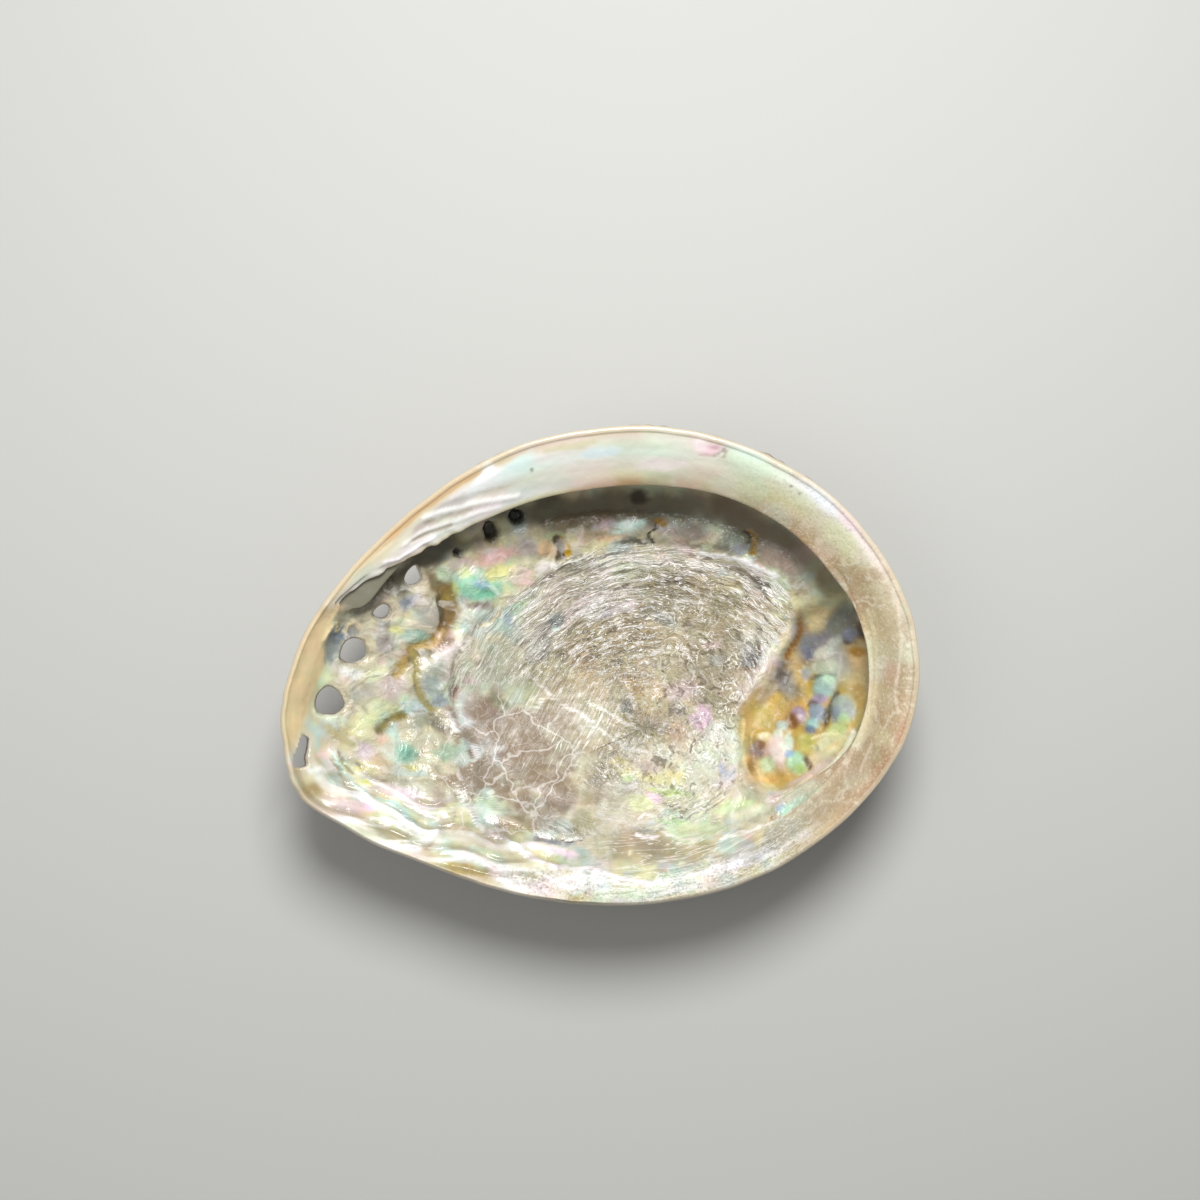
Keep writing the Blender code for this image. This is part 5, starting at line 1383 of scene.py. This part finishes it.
class Outside:
    """The outer sheet with its fine relief and colours."""

    def __init__(self, sheets):
        self.steps = (np.arange(OUTER_RINGS) / (OUTER_RINGS - 0.4)) ** 0.9
        plain = np.stack([sheets.outer(t) for t in self.steps])
        self.plain = plain
        x, y = plain[..., 0], plain[..., 1]
        curve = closed_curve(RIM, 16)
        bearing = np.arctan2(curve[:, 1] - APEX[1], curve[:, 0] - APEX[0])
        order = np.argsort(bearing)
        reach = np.hypot(curve[:, 0] - APEX[0], curve[:, 1] - APEX[1])[order]
        self.off = np.hypot(x - APEX[0], y - APEX[1])
        direction = np.arctan2(y - APEX[1], x - APEX[0])
        age = self.off / np.interp(direction, bearing[order], reach, period=2 * math.pi)
        self.spiral = direction + 1.5 * np.log(np.clip(age, 0.03, None))
        self.growth = np.sin(self.off * 2.3 + 4.0 * cloud(x, y, 14.0, 411, 2))
        self.cords = np.sin(self.spiral * 34.0 + 1.5 * cloud(x, y, 12.0, 421, 2))
        self.share = self.steps[:, None] + 0.0 * sheets.angle
        self.points = plain - self.fine_relief()[..., None] * grid_normals(plain)

    def fine_relief(self):
        x, y = self.plain[..., 0], self.plain[..., 1]
        rough = cloud(x, y, 5.0, 401, 3) - 0.5
        strong = smooth((self.off - 12.0) / 20.0)
        total = 0.5 * rough + (0.14 * self.growth + 0.16 * self.cords) * strong
        coil = (np.mod(self.spiral, 2 * math.pi) - math.pi) / 0.35
        total = total - 0.5 * np.exp(-(coil**2)) * smooth((18.0 - self.off) / 10.0)
        return total * smooth((self.share - 0.01) / 0.05) * smooth((1.0 - self.share) / 0.12)

    def colours(self):
        x, y = self.plain[..., 0], self.plain[..., 1]
        paint = np.broadcast_to(linear((134, 104, 76)), self.plain.shape).copy()
        bands = cloud(self.off, self.spiral * 3.0, 5.0, 431, 3)
        paint = laid_over(paint, (112, 66, 50), 0.8 * smooth((bands - 0.5) / 0.14))
        paint = laid_over(paint, (128, 126, 96), 0.7 * smooth((cloud(x, y, 16.0, 441, 3) - 0.5) / 0.12))
        paint = laid_over(paint, (170, 148, 116), 0.8 * smooth((cloud(x, y, 9.0, 451, 4) - 0.52) / 0.1))
        paint = paint * (0.92 + 0.12 * self.growth)[..., None]
        worn = smooth((self.cords - 0.55) / 0.4) * smooth((cloud(x, y, 12.0, 461, 3) - 0.45) / 0.15)
        paint = laid_over(paint, (206, 194, 168), 0.6 * worn)
        knobs = smooth((knob_height(x, y) - 0.9) / 0.8)
        paint = laid_over(paint, (214, 204, 182), 0.75 * knobs)
        apex = 1.0 - smooth((self.off - 9.0 - 8.0 * cloud(x, y, 8.0, 471, 3)) / 5.0)
        paint = laid_over(paint, (204, 206, 194), 0.85 * apex)
        specks = smooth((cloud(x, y, 1.6, 481, 2) - 0.66) / 0.08)
        paint = laid_over(paint, (222, 214, 198), 0.6 * specks)
        patch = 1.0 - smooth((np.hypot(x - 10.0, y) - 7.0 - 6.0 * cloud(x, y, 7.0, 491, 3)) / 4.0)
        paint = laid_over(paint, (208, 198, 172), 0.8 * patch)
        paint = paint * (0.78 + 0.44 * cloud(x, y, 4.0, 495, 4))[..., None]
        edge = 1.0 - smooth((self.share - 0.012) / 0.03)
        return laid_over(paint, (218, 204, 176), 0.95 * edge)


def column_step(share):
    if share > QUARTER_COLUMNS_FROM:
        return 4
    return 2 if share > HALF_COLUMNS_FROM else 1


def stitch(ring, inner_ring):
    """Faces between two rings, the second with as many corners or half as many."""
    after_inner = np.roll(inner_ring, -1)
    if len(ring) == 2 * len(inner_ring):
        a = ring[0::2]
        b = ring[1::2]
        c = np.roll(a, -1)
        corners = ((a, b, inner_ring), (b, after_inner, inner_ring), (b, c, after_inner))
        return [np.stack(three, 1) for three in corners]
    after = np.roll(ring, -1)
    return [np.stack(three, 1) for three in ((ring, after, after_inner), (ring, after_inner, inner_ring))]


class Skin:
    """Vertices, faces and values of the whole surface, gathered ring by ring."""

    def __init__(self):
        self.values = []
        self.faces = []
        self.count = 0

    def add_ring(self, values):
        ring = np.arange(self.count, self.count + len(values))
        self.values.append(values)
        self.count += len(values)
        return ring

    def add_sheet(self, first, values, shares, inwards):
        previous = first
        for row, share in enumerate(shares):
            ring = self.add_ring(values[row][:: column_step(share)])
            self.add_faces(stitch(previous, ring), inwards)
            previous = ring
        pole = self.add_ring(values[-1].mean(axis=0, keepdims=True))
        fan = np.stack([previous, np.roll(previous, -1), np.full(len(previous), pole[0])], 1)
        self.add_faces([fan], inwards)

    def add_faces(self, groups, inwards):
        for group in groups:
            self.faces.append(group if inwards else group[:, ::-1])


def edge_values(inside, outside, half_ring):
    """Rings round the lip from the outer to the inner sheet, at shares of a half turn."""
    rings = []
    middle = (inside[0] + outside[0]) / 2
    half = (inside[0] - outside[0]) / 2
    for share in half_ring:
        turn = math.pi * share
        ring = middle - half * math.cos(turn)
        ring[:, 2] += 0.3 * EDGE_THICKNESS * math.sin(turn)
        rings.append(ring)
    return rings


# Values carried by each vertex: place, paint, matt share, marks, zones, three flows, how much it is outside
WIDTHS = (3, 3, 1, 4, 3, 3, 3, 3, 1)


def inside_values(inside):
    marks, zones = inside.marks()
    flows = inside.flows()
    outside = np.zeros_like(zones[..., :1])
    matt = np.maximum(inside.in_pit, 0.85 * inside.in_scar)[..., None]
    return np.concatenate([inside.points, inside.colours(), matt, marks, zones, *flows, outside], axis=-1)


def outside_values(outer):
    shape = outer.plain.shape[:2]
    blank = np.zeros(shape + (sum(WIDTHS[2:-1]),))
    whole = smooth((outer.share - 0.02) / 0.03)[..., None]
    return np.concatenate([outer.points, outer.colours(), blank, whole], axis=-1)


def chip_rim(points, angle, shares, reach):
    """Small chips and waves of the lip, mostly by the first hole."""
    place = np.degrees(angle)
    chips = 0.5 * (noise(place / 1.6, 0.0 * place, 611) - 0.5) * np.exp(-(((place + 168.0) / 14.0) ** 2))
    waves = 0.25 * (noise(place / 5.0, 0.0 * place, 621) - 0.5)
    fade = (1.0 - smooth(shares / reach))[:, None]
    move = (chips + waves)[None, :] * fade
    points[..., 0] += move * np.cos(angle)
    points[..., 1] += move * np.sin(angle)


def shell_surface():
    """The whole closed surface: vertex values and faces."""
    sheets = Sheets(column_angles(COLUMNS))
    inside = Inside(sheets)
    outer = Outside(sheets)
    chip_rim(inside.points, sheets.angle, inside.steps, 0.05)
    chip_rim(outer.points, sheets.angle, outer.steps, 0.05)
    level = sheets.outer(0.97)[:, 2].min() + WORN_AWAY
    level = min(level, outer.plain[..., 2].min() + WORN_AWAY)
    outer.points[..., 2] = np.maximum(outer.points[..., 2], level)
    inner_values = inside_values(inside)
    outer_values = outside_values(outer)
    skin = Skin()
    lip = edge_values(inner_values, outer_values, (np.arange(EDGE_RINGS) + 1) / (EDGE_RINGS + 1))
    rings = [skin.add_ring(ring) for ring in lip]
    for lower, upper in zip(rings, rings[1:]):
        skin.add_faces(stitch(lower, upper), True)
    skin.add_sheet(rings[-1], inner_values, 2.0 * inside.steps - 1.0, True)
    skin.add_sheet(rings[0], outer_values, outer.steps, False)
    return np.concatenate(skin.values), np.concatenate(skin.faces), level


def hole_cutters(level_shift):
    """One mesh of waisted plugs through the wall, each with the outline of its hole as seen."""
    sheets = Sheets(column_angles(360))
    steps = np.linspace(0.03, 0.9, 160)
    inner = np.stack([sheets.wall(t) for t in steps])
    outer = np.stack([sheets.outer(t) for t in steps])
    hidden = (sheets.fullness > 0.0) & (steps[:, None] < sheets.wall_start)
    u, v = view_place(inner)
    normals = grid_normals(inner)
    shape = bmesh.new()
    for outline in OPEN_HOLES:
        curve = closed_curve(outline, 6)
        middle = curve.mean(axis=0)
        off = np.hypot(u - middle[0], v - middle[1]) + 1e4 * hidden
        found = np.unravel_index(np.argmin(off), off.shape)
        centre = (inner[found] + outer[found]) / 2
        axis = normals[found] + np.array([0.0, 0.0, 1.0])
        axis /= np.linalg.norm(axis)
        add_plug(shape, curve, middle, centre, axis, level_shift)
    bmesh.ops.recalc_face_normals(shape, faces=shape.faces[:])
    mesh = bpy.data.meshes.new("hole_plugs")
    shape.to_mesh(mesh)
    shape.free()
    return mesh


def add_plug(shape, curve, middle, centre, axis, level_shift):
    scale = (EYE_HEIGHT + DEPTH - centre[2]) / EYE_HEIGHT
    across = (curve - middle) * VIEW_UNIT * scale
    across[:, 1] *= -1.0
    size = np.abs(across).max()
    rings = []
    for level in (-9.0, -3.4, -2.2, -1.1, 0.0, 1.1, 2.2, 3.4, 9.0):
        flare = 1.0 + (0.75 * (min(abs(level), 3.4) / 3.4) ** 2.2 + 0.4 * max(abs(level) - 3.4, 0.0)) / size
        ring = []
        for x, y in across * flare:
            rise = -(axis[0] * x + axis[1] * y) / axis[2]
            place = centre + axis * level + np.array([x, y, rise])
            ring.append(shape.verts.new((Vector(place) + level_shift) * MM))
        rings.append(ring)
    count = len(rings[0])
    for lower, upper in zip(rings, rings[1:]):
        for corner in range(count):
            after = (corner + 1) % count
            shape.faces.new((lower[corner], lower[after], upper[after], upper[corner]))
    shape.faces.new(rings[0][::-1])
    shape.faces.new(rings[-1])


def pierced(mesh, plugs):
    """The shell's mesh with its open holes cut."""
    shell = bpy.data.objects.new("blank", mesh)
    tool = bpy.data.objects.new("plugs", plugs)
    for item in (shell, tool):
        bpy.context.scene.collection.objects.link(item)
    cut = shell.modifiers.new("holes", "BOOLEAN")
    cut.object = tool
    cut.operation = "DIFFERENCE"
    cut.solver = "MANIFOLD"
    shell_now = shell.evaluated_get(bpy.context.evaluated_depsgraph_get())
    made = bpy.data.meshes.new_from_object(shell_now)
    for item in (shell, tool):
        bpy.data.objects.remove(item, do_unlink=True)
    return made


def carry_values(mesh, places, values):
    """Gives each vertex of the pierced mesh the values of the nearest vertex of the first surface."""
    tree = KDTree(len(places))
    for index, place in enumerate(places):
        tree.insert(place, index)
    tree.balance()
    nearest = [tree.find(vertex.co)[1] for vertex in mesh.vertices]
    values = values[nearest]
    splits = np.split(values, np.cumsum(WIDTHS)[:-1], axis=1)
    _, paint, matt, marks, zones, arc_flow, scratch_flow, rim_flow, outside = splits
    for name, quad in (("paint", np.hstack([np.clip(paint, 0, 1), matt])), ("marks", marks),
                       ("zones", np.hstack([zones, outside]))):
        mesh.attributes.new(name, "FLOAT_COLOR", "POINT").data.foreach_set("color", quad.ravel())
    for name, flow in (("arc_flow", arc_flow), ("scratch_flow", scratch_flow), ("rim_flow", rim_flow)):
        mesh.attributes.new(name, "FLOAT_VECTOR", "POINT").data.foreach_set("vector", flow.ravel())


class Web:
    """Small helpers for wiring a material's nodes."""

    def __init__(self, tree):
        self.nodes = tree.nodes
        self.links = tree.links

    def put(self, socket, value):
        if hasattr(value, "is_output"):
            self.links.new(value, socket)
        else:
            socket.default_value = value

    def attribute(self, name):
        node = self.nodes.new("ShaderNodeAttribute")
        node.attribute_name = name
        return node

    def four(self, name):
        """The three colour channels of an attribute, and its alpha."""
        node = self.attribute(name)
        parts = self.nodes.new("ShaderNodeSeparateColor")
        self.put(parts.inputs[0], node.outputs["Color"])
        return (*parts.outputs, node.outputs["Alpha"])

    def math(self, operation, *values):
        node = self.nodes.new("ShaderNodeMath")
        node.operation = operation
        for socket, value in zip(node.inputs, values):
            self.put(socket, value)
        return node.outputs[0]

    def times(self, *values):
        result = values[0]
        for value in values[1:]:
            result = self.math("MULTIPLY", result, value)
        return result

    def stretched(self, vector, x, y, z=1.0):
        node = self.nodes.new("ShaderNodeVectorMath")
        node.operation = "MULTIPLY"
        self.put(node.inputs[0], vector)
        node.inputs[1].default_value = (x, y, z)
        return node.outputs[0]

    def noise(self, vector, scale, detail=2.0, roughness=0.5, distortion=0.0):
        node = self.nodes.new("ShaderNodeTexNoise")
        self.put(node.inputs["Vector"], vector)
        node.inputs["Scale"].default_value = scale
        node.inputs["Detail"].default_value = detail
        node.inputs["Roughness"].default_value = roughness
        node.inputs["Distortion"].default_value = distortion
        return node.outputs["Fac"]

    def cells(self, vector, scale):
        """Distance to the sides of uneven cells, bent by a noise."""
        bend = self.nodes.new("ShaderNodeTexNoise")
        self.put(bend.inputs["Vector"], vector)
        bend.inputs["Scale"].default_value = 2.2 * scale
        shift = self.nodes.new("ShaderNodeVectorMath")
        shift.operation = "MULTIPLY_ADD"
        self.put(shift.inputs[0], bend.outputs["Color"])
        shift.inputs[1].default_value = (0.5 / scale,) * 3
        self.put(shift.inputs[2], vector)
        node = self.nodes.new("ShaderNodeTexVoronoi")
        node.feature = "DISTANCE_TO_EDGE"
        self.put(node.inputs["Vector"], shift.outputs[0])
        node.inputs["Scale"].default_value = scale
        return node.outputs["Distance"]

    def step(self, value, low, high):
        """0 below low, 1 above high, smoothly between."""
        node = self.nodes.new("ShaderNodeMapRange")
        node.interpolation_type = "SMOOTHSTEP"
        self.put(node.inputs["Value"], value)
        node.inputs["From Min"].default_value = low
        node.inputs["From Max"].default_value = high
        return node.outputs["Result"]

    def crest(self, value, low, high):
        """Thin lines where a noise passes its middle value."""
        off = self.math("ABSOLUTE", self.math("SUBTRACT", value, 0.5))
        return self.step(self.math("SUBTRACT", 0.5, off), low, high)

    def mix(self, amount, low, high):
        node = self.nodes.new("ShaderNodeMix")
        node.data_type = "RGBA"
        self.put(node.inputs[0], amount)
        self.put(node.inputs[6], low)
        self.put(node.inputs[7], high)
        return node.outputs[2]

    def tint(self, colour):
        return (*linear(colour), 1.0)


def nacre():
    """Painted nacre with striations, squiggles, scratches, cobweb, fibres, folds and frost, with painted
    glints on the striations and squiggles and painted highlight and shade on the folds and wrinkles; crust
    outside.
    """
    material = bpy.data.materials.new("nacre")
    material.use_nodes = True
    web = Web(material.node_tree)
    shader = material.node_tree.nodes["Principled BSDF"]
    coat = web.attribute("paint")
    matt = coat.outputs["Alpha"]
    arcs, squiggles, scratches, frost = web.four("marks")
    fibre, foil, cells, outside = web.four("zones")
    arc_flow = web.attribute("arc_flow").outputs["Vector"]
    scratch_flow = web.attribute("scratch_flow").outputs["Vector"]
    rim_flow = web.attribute("rim_flow").outputs["Vector"]
    place = web.nodes.new("ShaderNodeTexCoord").outputs["Object"]
    white = web.tint((255, 251, 246))
    dark = web.tint((84, 70, 50))

    # patterns of the scar: striations, loops with gaps, and straight scratches
    waves = web.noise(web.stretched(arc_flow, 0.15, 0.72), 1.0, 3.0, 0.6, 0.7)
    lines = web.noise(web.stretched(arc_flow, 0.24, 1.25), 1.0, 2.0, 0.6, 0.9)
    worms = web.noise(web.stretched(place, 1000.0, 1000.0, 300.0), 0.46, 2.0, 0.5, 1.0)
    broken = web.step(web.noise(place, 190.0, 2.0), 0.40, 0.60)
    hairs = web.noise(web.stretched(scratch_flow, 0.06, 1.1), 1.0, 1.5, 0.5, 0.12)

    # brown cells with seams between them, as in a cobweb
    patchy = web.noise(place, 150.0, 2.0)
    seams = web.cells(place, 84.0)
    fine_seams = web.cells(place, 260.0)

    # fibres that follow the rim, folds of the lumps, wrinkles, frost, and crumbs of the crust
    fine = web.noise(web.stretched(rim_flow, 0.07, 0.8), 1.0, 3.0, 0.6, 0.5)
    folds = web.noise(web.stretched(place, 1000.0, 1000.0, 500.0), 0.20, 3.0, 0.5, 0.7)
    wrinkles = web.noise(web.stretched(place, 1000.0, 1000.0, 500.0), 0.62, 4.0, 0.6, 0.6)
    crumpled = web.math("MAXIMUM", web.times(foil, 0.4), web.times(matt, 0.45))
    grit = web.noise(place, 1500.0, 3.0, 0.6)
    crumbs = web.noise(place, 700.0, 4.0, 0.65)

    # layers of colour: kind of edge, pattern, its limits, where it shows, strength and tint; the white layers
    # on the striations and squiggles are painted glints, and the white and dark layers of the folds and
    # wrinkles are painted highlight on their rises and painted shade in their hollows
    colour = coat.outputs["Color"]
    for edge, pattern, low, high, where, strength, tint in (
        (web.step, waves, 0.48, 0.34, arcs, 0.68, dark),
        (web.step, lines, 0.46, 0.34, arcs, 0.5, dark),
        (web.step, waves, 0.54, 0.64, arcs, 0.85, white),
        (web.crest, lines, 0.464, 0.490, arcs, 0.95, white),
        (web.step, worms, 0.45, 0.32, squiggles, 0.62, dark),
        (web.crest, worms, 0.466, 0.492, web.times(squiggles, broken), 0.95, white),
        (web.step, hairs, 0.46, 0.30, scratches, 0.3, dark),
        (web.crest, hairs, 0.480, 0.497, scratches, 0.75, white),
        (web.step, patchy, 0.42, 0.58, cells, 0.85, web.tint((140, 120, 98))),
        (web.step, seams, 0.028, 0.006, cells, 0.36, white),
        (web.step, fine_seams, 0.026, 0.004, web.times(web.step(patchy, 0.35, 0.6), cells), 0.28, white),
        (web.step, fine, 0.48, 0.32, fibre, 0.4, web.tint((140, 128, 104))),
        (web.crest, fine, 0.472, 0.494, fibre, 0.5, white),
        (web.step, folds, 0.46, 0.30, foil, 0.35, web.tint((110, 104, 92))),
        (web.step, folds, 0.56, 0.68, foil, 0.35, white),
        (web.step, wrinkles, 0.47, 0.32, crumpled, 0.4, dark),
        (web.step, wrinkles, 0.55, 0.68, crumpled, 0.35, white),
        (web.step, grit, 0.54, 0.66, frost, 0.6, white),
        (web.step, grit, 0.46, 0.34, frost, 0.45, dark),
        (web.step, crumbs, 0.5, 0.66, outside, 0.35, web.tint((70, 50, 36))),
        (web.step, crumbs, 0.42, 0.34, outside, 0.4, white),
    ):
        colour = web.mix(web.times(edge(pattern, low, high), where, strength), colour, tint)

    # relief of the same patterns
    height = web.times(web.crest(lines, 0.42, 0.5), arcs, 0.6)
    for value, where, share in (
        (waves, arcs, 2.0), (worms, squiggles, 1.6), (hairs, scratches, 0.5), (fine, fibre, 0.9),
        (folds, foil, 3.0), (wrinkles, crumpled, 0.9), (grit, frost, 0.3), (crumbs, outside, 1.6),
    ):
        height = web.math("ADD", height, web.times(value, where, share))
    ripple = web.noise(place, 420.0, 3.0)
    height = web.math("ADD", height, web.times(ripple, 0.35))
    bump = web.nodes.new("ShaderNodeBump")
    bump.inputs["Strength"].default_value = 0.8
    bump.inputs["Distance"].default_value = 0.0006
    web.put(bump.inputs["Height"], height)
    web.put(shader.inputs["Normal"], bump.outputs[0])

    rough = 0.24
    for where, share in ((outside, 0.38), (frost, 0.14), (matt, 0.22)):
        rough = web.math("ADD", rough, web.times(where, share))
    web.put(shader.inputs["Roughness"], rough)
    web.put(shader.inputs["Base Color"], colour)
    web.put(shader.inputs["Coat Weight"], web.math("SUBTRACT", 0.24, web.times(matt, 0.22)))
    shader.inputs["Coat Roughness"].default_value = 0.12
    return material


def make_shell():
    values, faces, level = shell_surface()
    places = values[:, :3]
    low = places.min(axis=0)
    high = places.max(axis=0)
    shift = Vector((-(low[0] + high[0]) / 2, -(low[1] + high[1]) / 2, -level))
    places = (places + np.array(shift)) * MM
    mesh = bpy.data.meshes.new("surface")
    mesh.from_pydata(places.tolist(), [], faces.tolist())
    made = pierced(mesh, hole_cutters(shift))
    carry_values(made, places.tolist(), values)
    made.shade_smooth()
    made.materials.clear()
    made.materials.append(nacre())
    shell = bpy.data.objects.new("abalone_shell", made)
    bpy.context.scene.collection.objects.link(shell)
    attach(shell, "root")
    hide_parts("shell")
    return shift


def flat_material(name, colour, roughness):
    material = bpy.data.materials.new(name)
    material.use_nodes = True
    shader = material.node_tree.nodes["Principled BSDF"]
    shader.inputs["Base Color"].default_value = (*linear(colour), 1.0)
    shader.inputs["Roughness"].default_value = roughness
    return material


def make_floor():
    side = 3.0
    corners = [(x * side, y * side, 0.0) for x, y in ((-1, -1), (1, -1), (1, 1), (-1, 1))]
    mesh = bpy.data.meshes.new("floor")
    mesh.from_pydata(corners, [], [(0, 1, 2, 3)])
    mesh.materials.append(flat_material("pale_floor", (196, 196, 192), 0.7))
    floor = bpy.data.objects.new("floor", mesh)
    bpy.context.scene.collection.objects.link(floor)


def soft_light(name, place, size, power):
    lamp = bpy.data.lights.new(name, "AREA")
    lamp.shape = "DISK"
    lamp.size = size
    lamp.energy = power
    item = bpy.data.objects.new(name, lamp)
    item.location = place
    item.rotation_euler = (-Vector(place)).to_track_quat("-Z", "Y").to_euler()
    bpy.context.scene.collection.objects.link(item)


def light_scene():
    world = bpy.data.worlds.new("soft_room")
    world.use_nodes = True
    background = world.node_tree.nodes["Background"]
    background.inputs["Color"].default_value = (1.0, 1.0, 1.0, 1.0)
    background.inputs["Strength"].default_value = 0.25
    bpy.context.scene.world = world
    soft_light("key", (0.03, 0.33, 0.58), 0.26, 4.4)
    soft_light("fill", (-0.30, -0.05, 0.60), 0.40, 0.5)
    bpy.context.scene.view_settings.view_transform = "Standard"


def make_camera(shift):
    data = bpy.data.cameras.new("camera")
    data.sensor_fit = "HORIZONTAL"
    data.angle = 2 * math.atan(VIEW_SIDE / 2 * VIEW_UNIT / EYE_HEIGHT)
    data.clip_start = 0.01
    camera = bpy.data.objects.new("camera", data)
    camera.location = (Vector((EYE[0], EYE[1], EYE_HEIGHT + DEPTH)) + shift) * MM
    bpy.context.scene.collection.objects.link(camera)
    bpy.context.scene.camera = camera


shell_shift = make_shell()
make_floor()
light_scene()
make_camera(shell_shift)
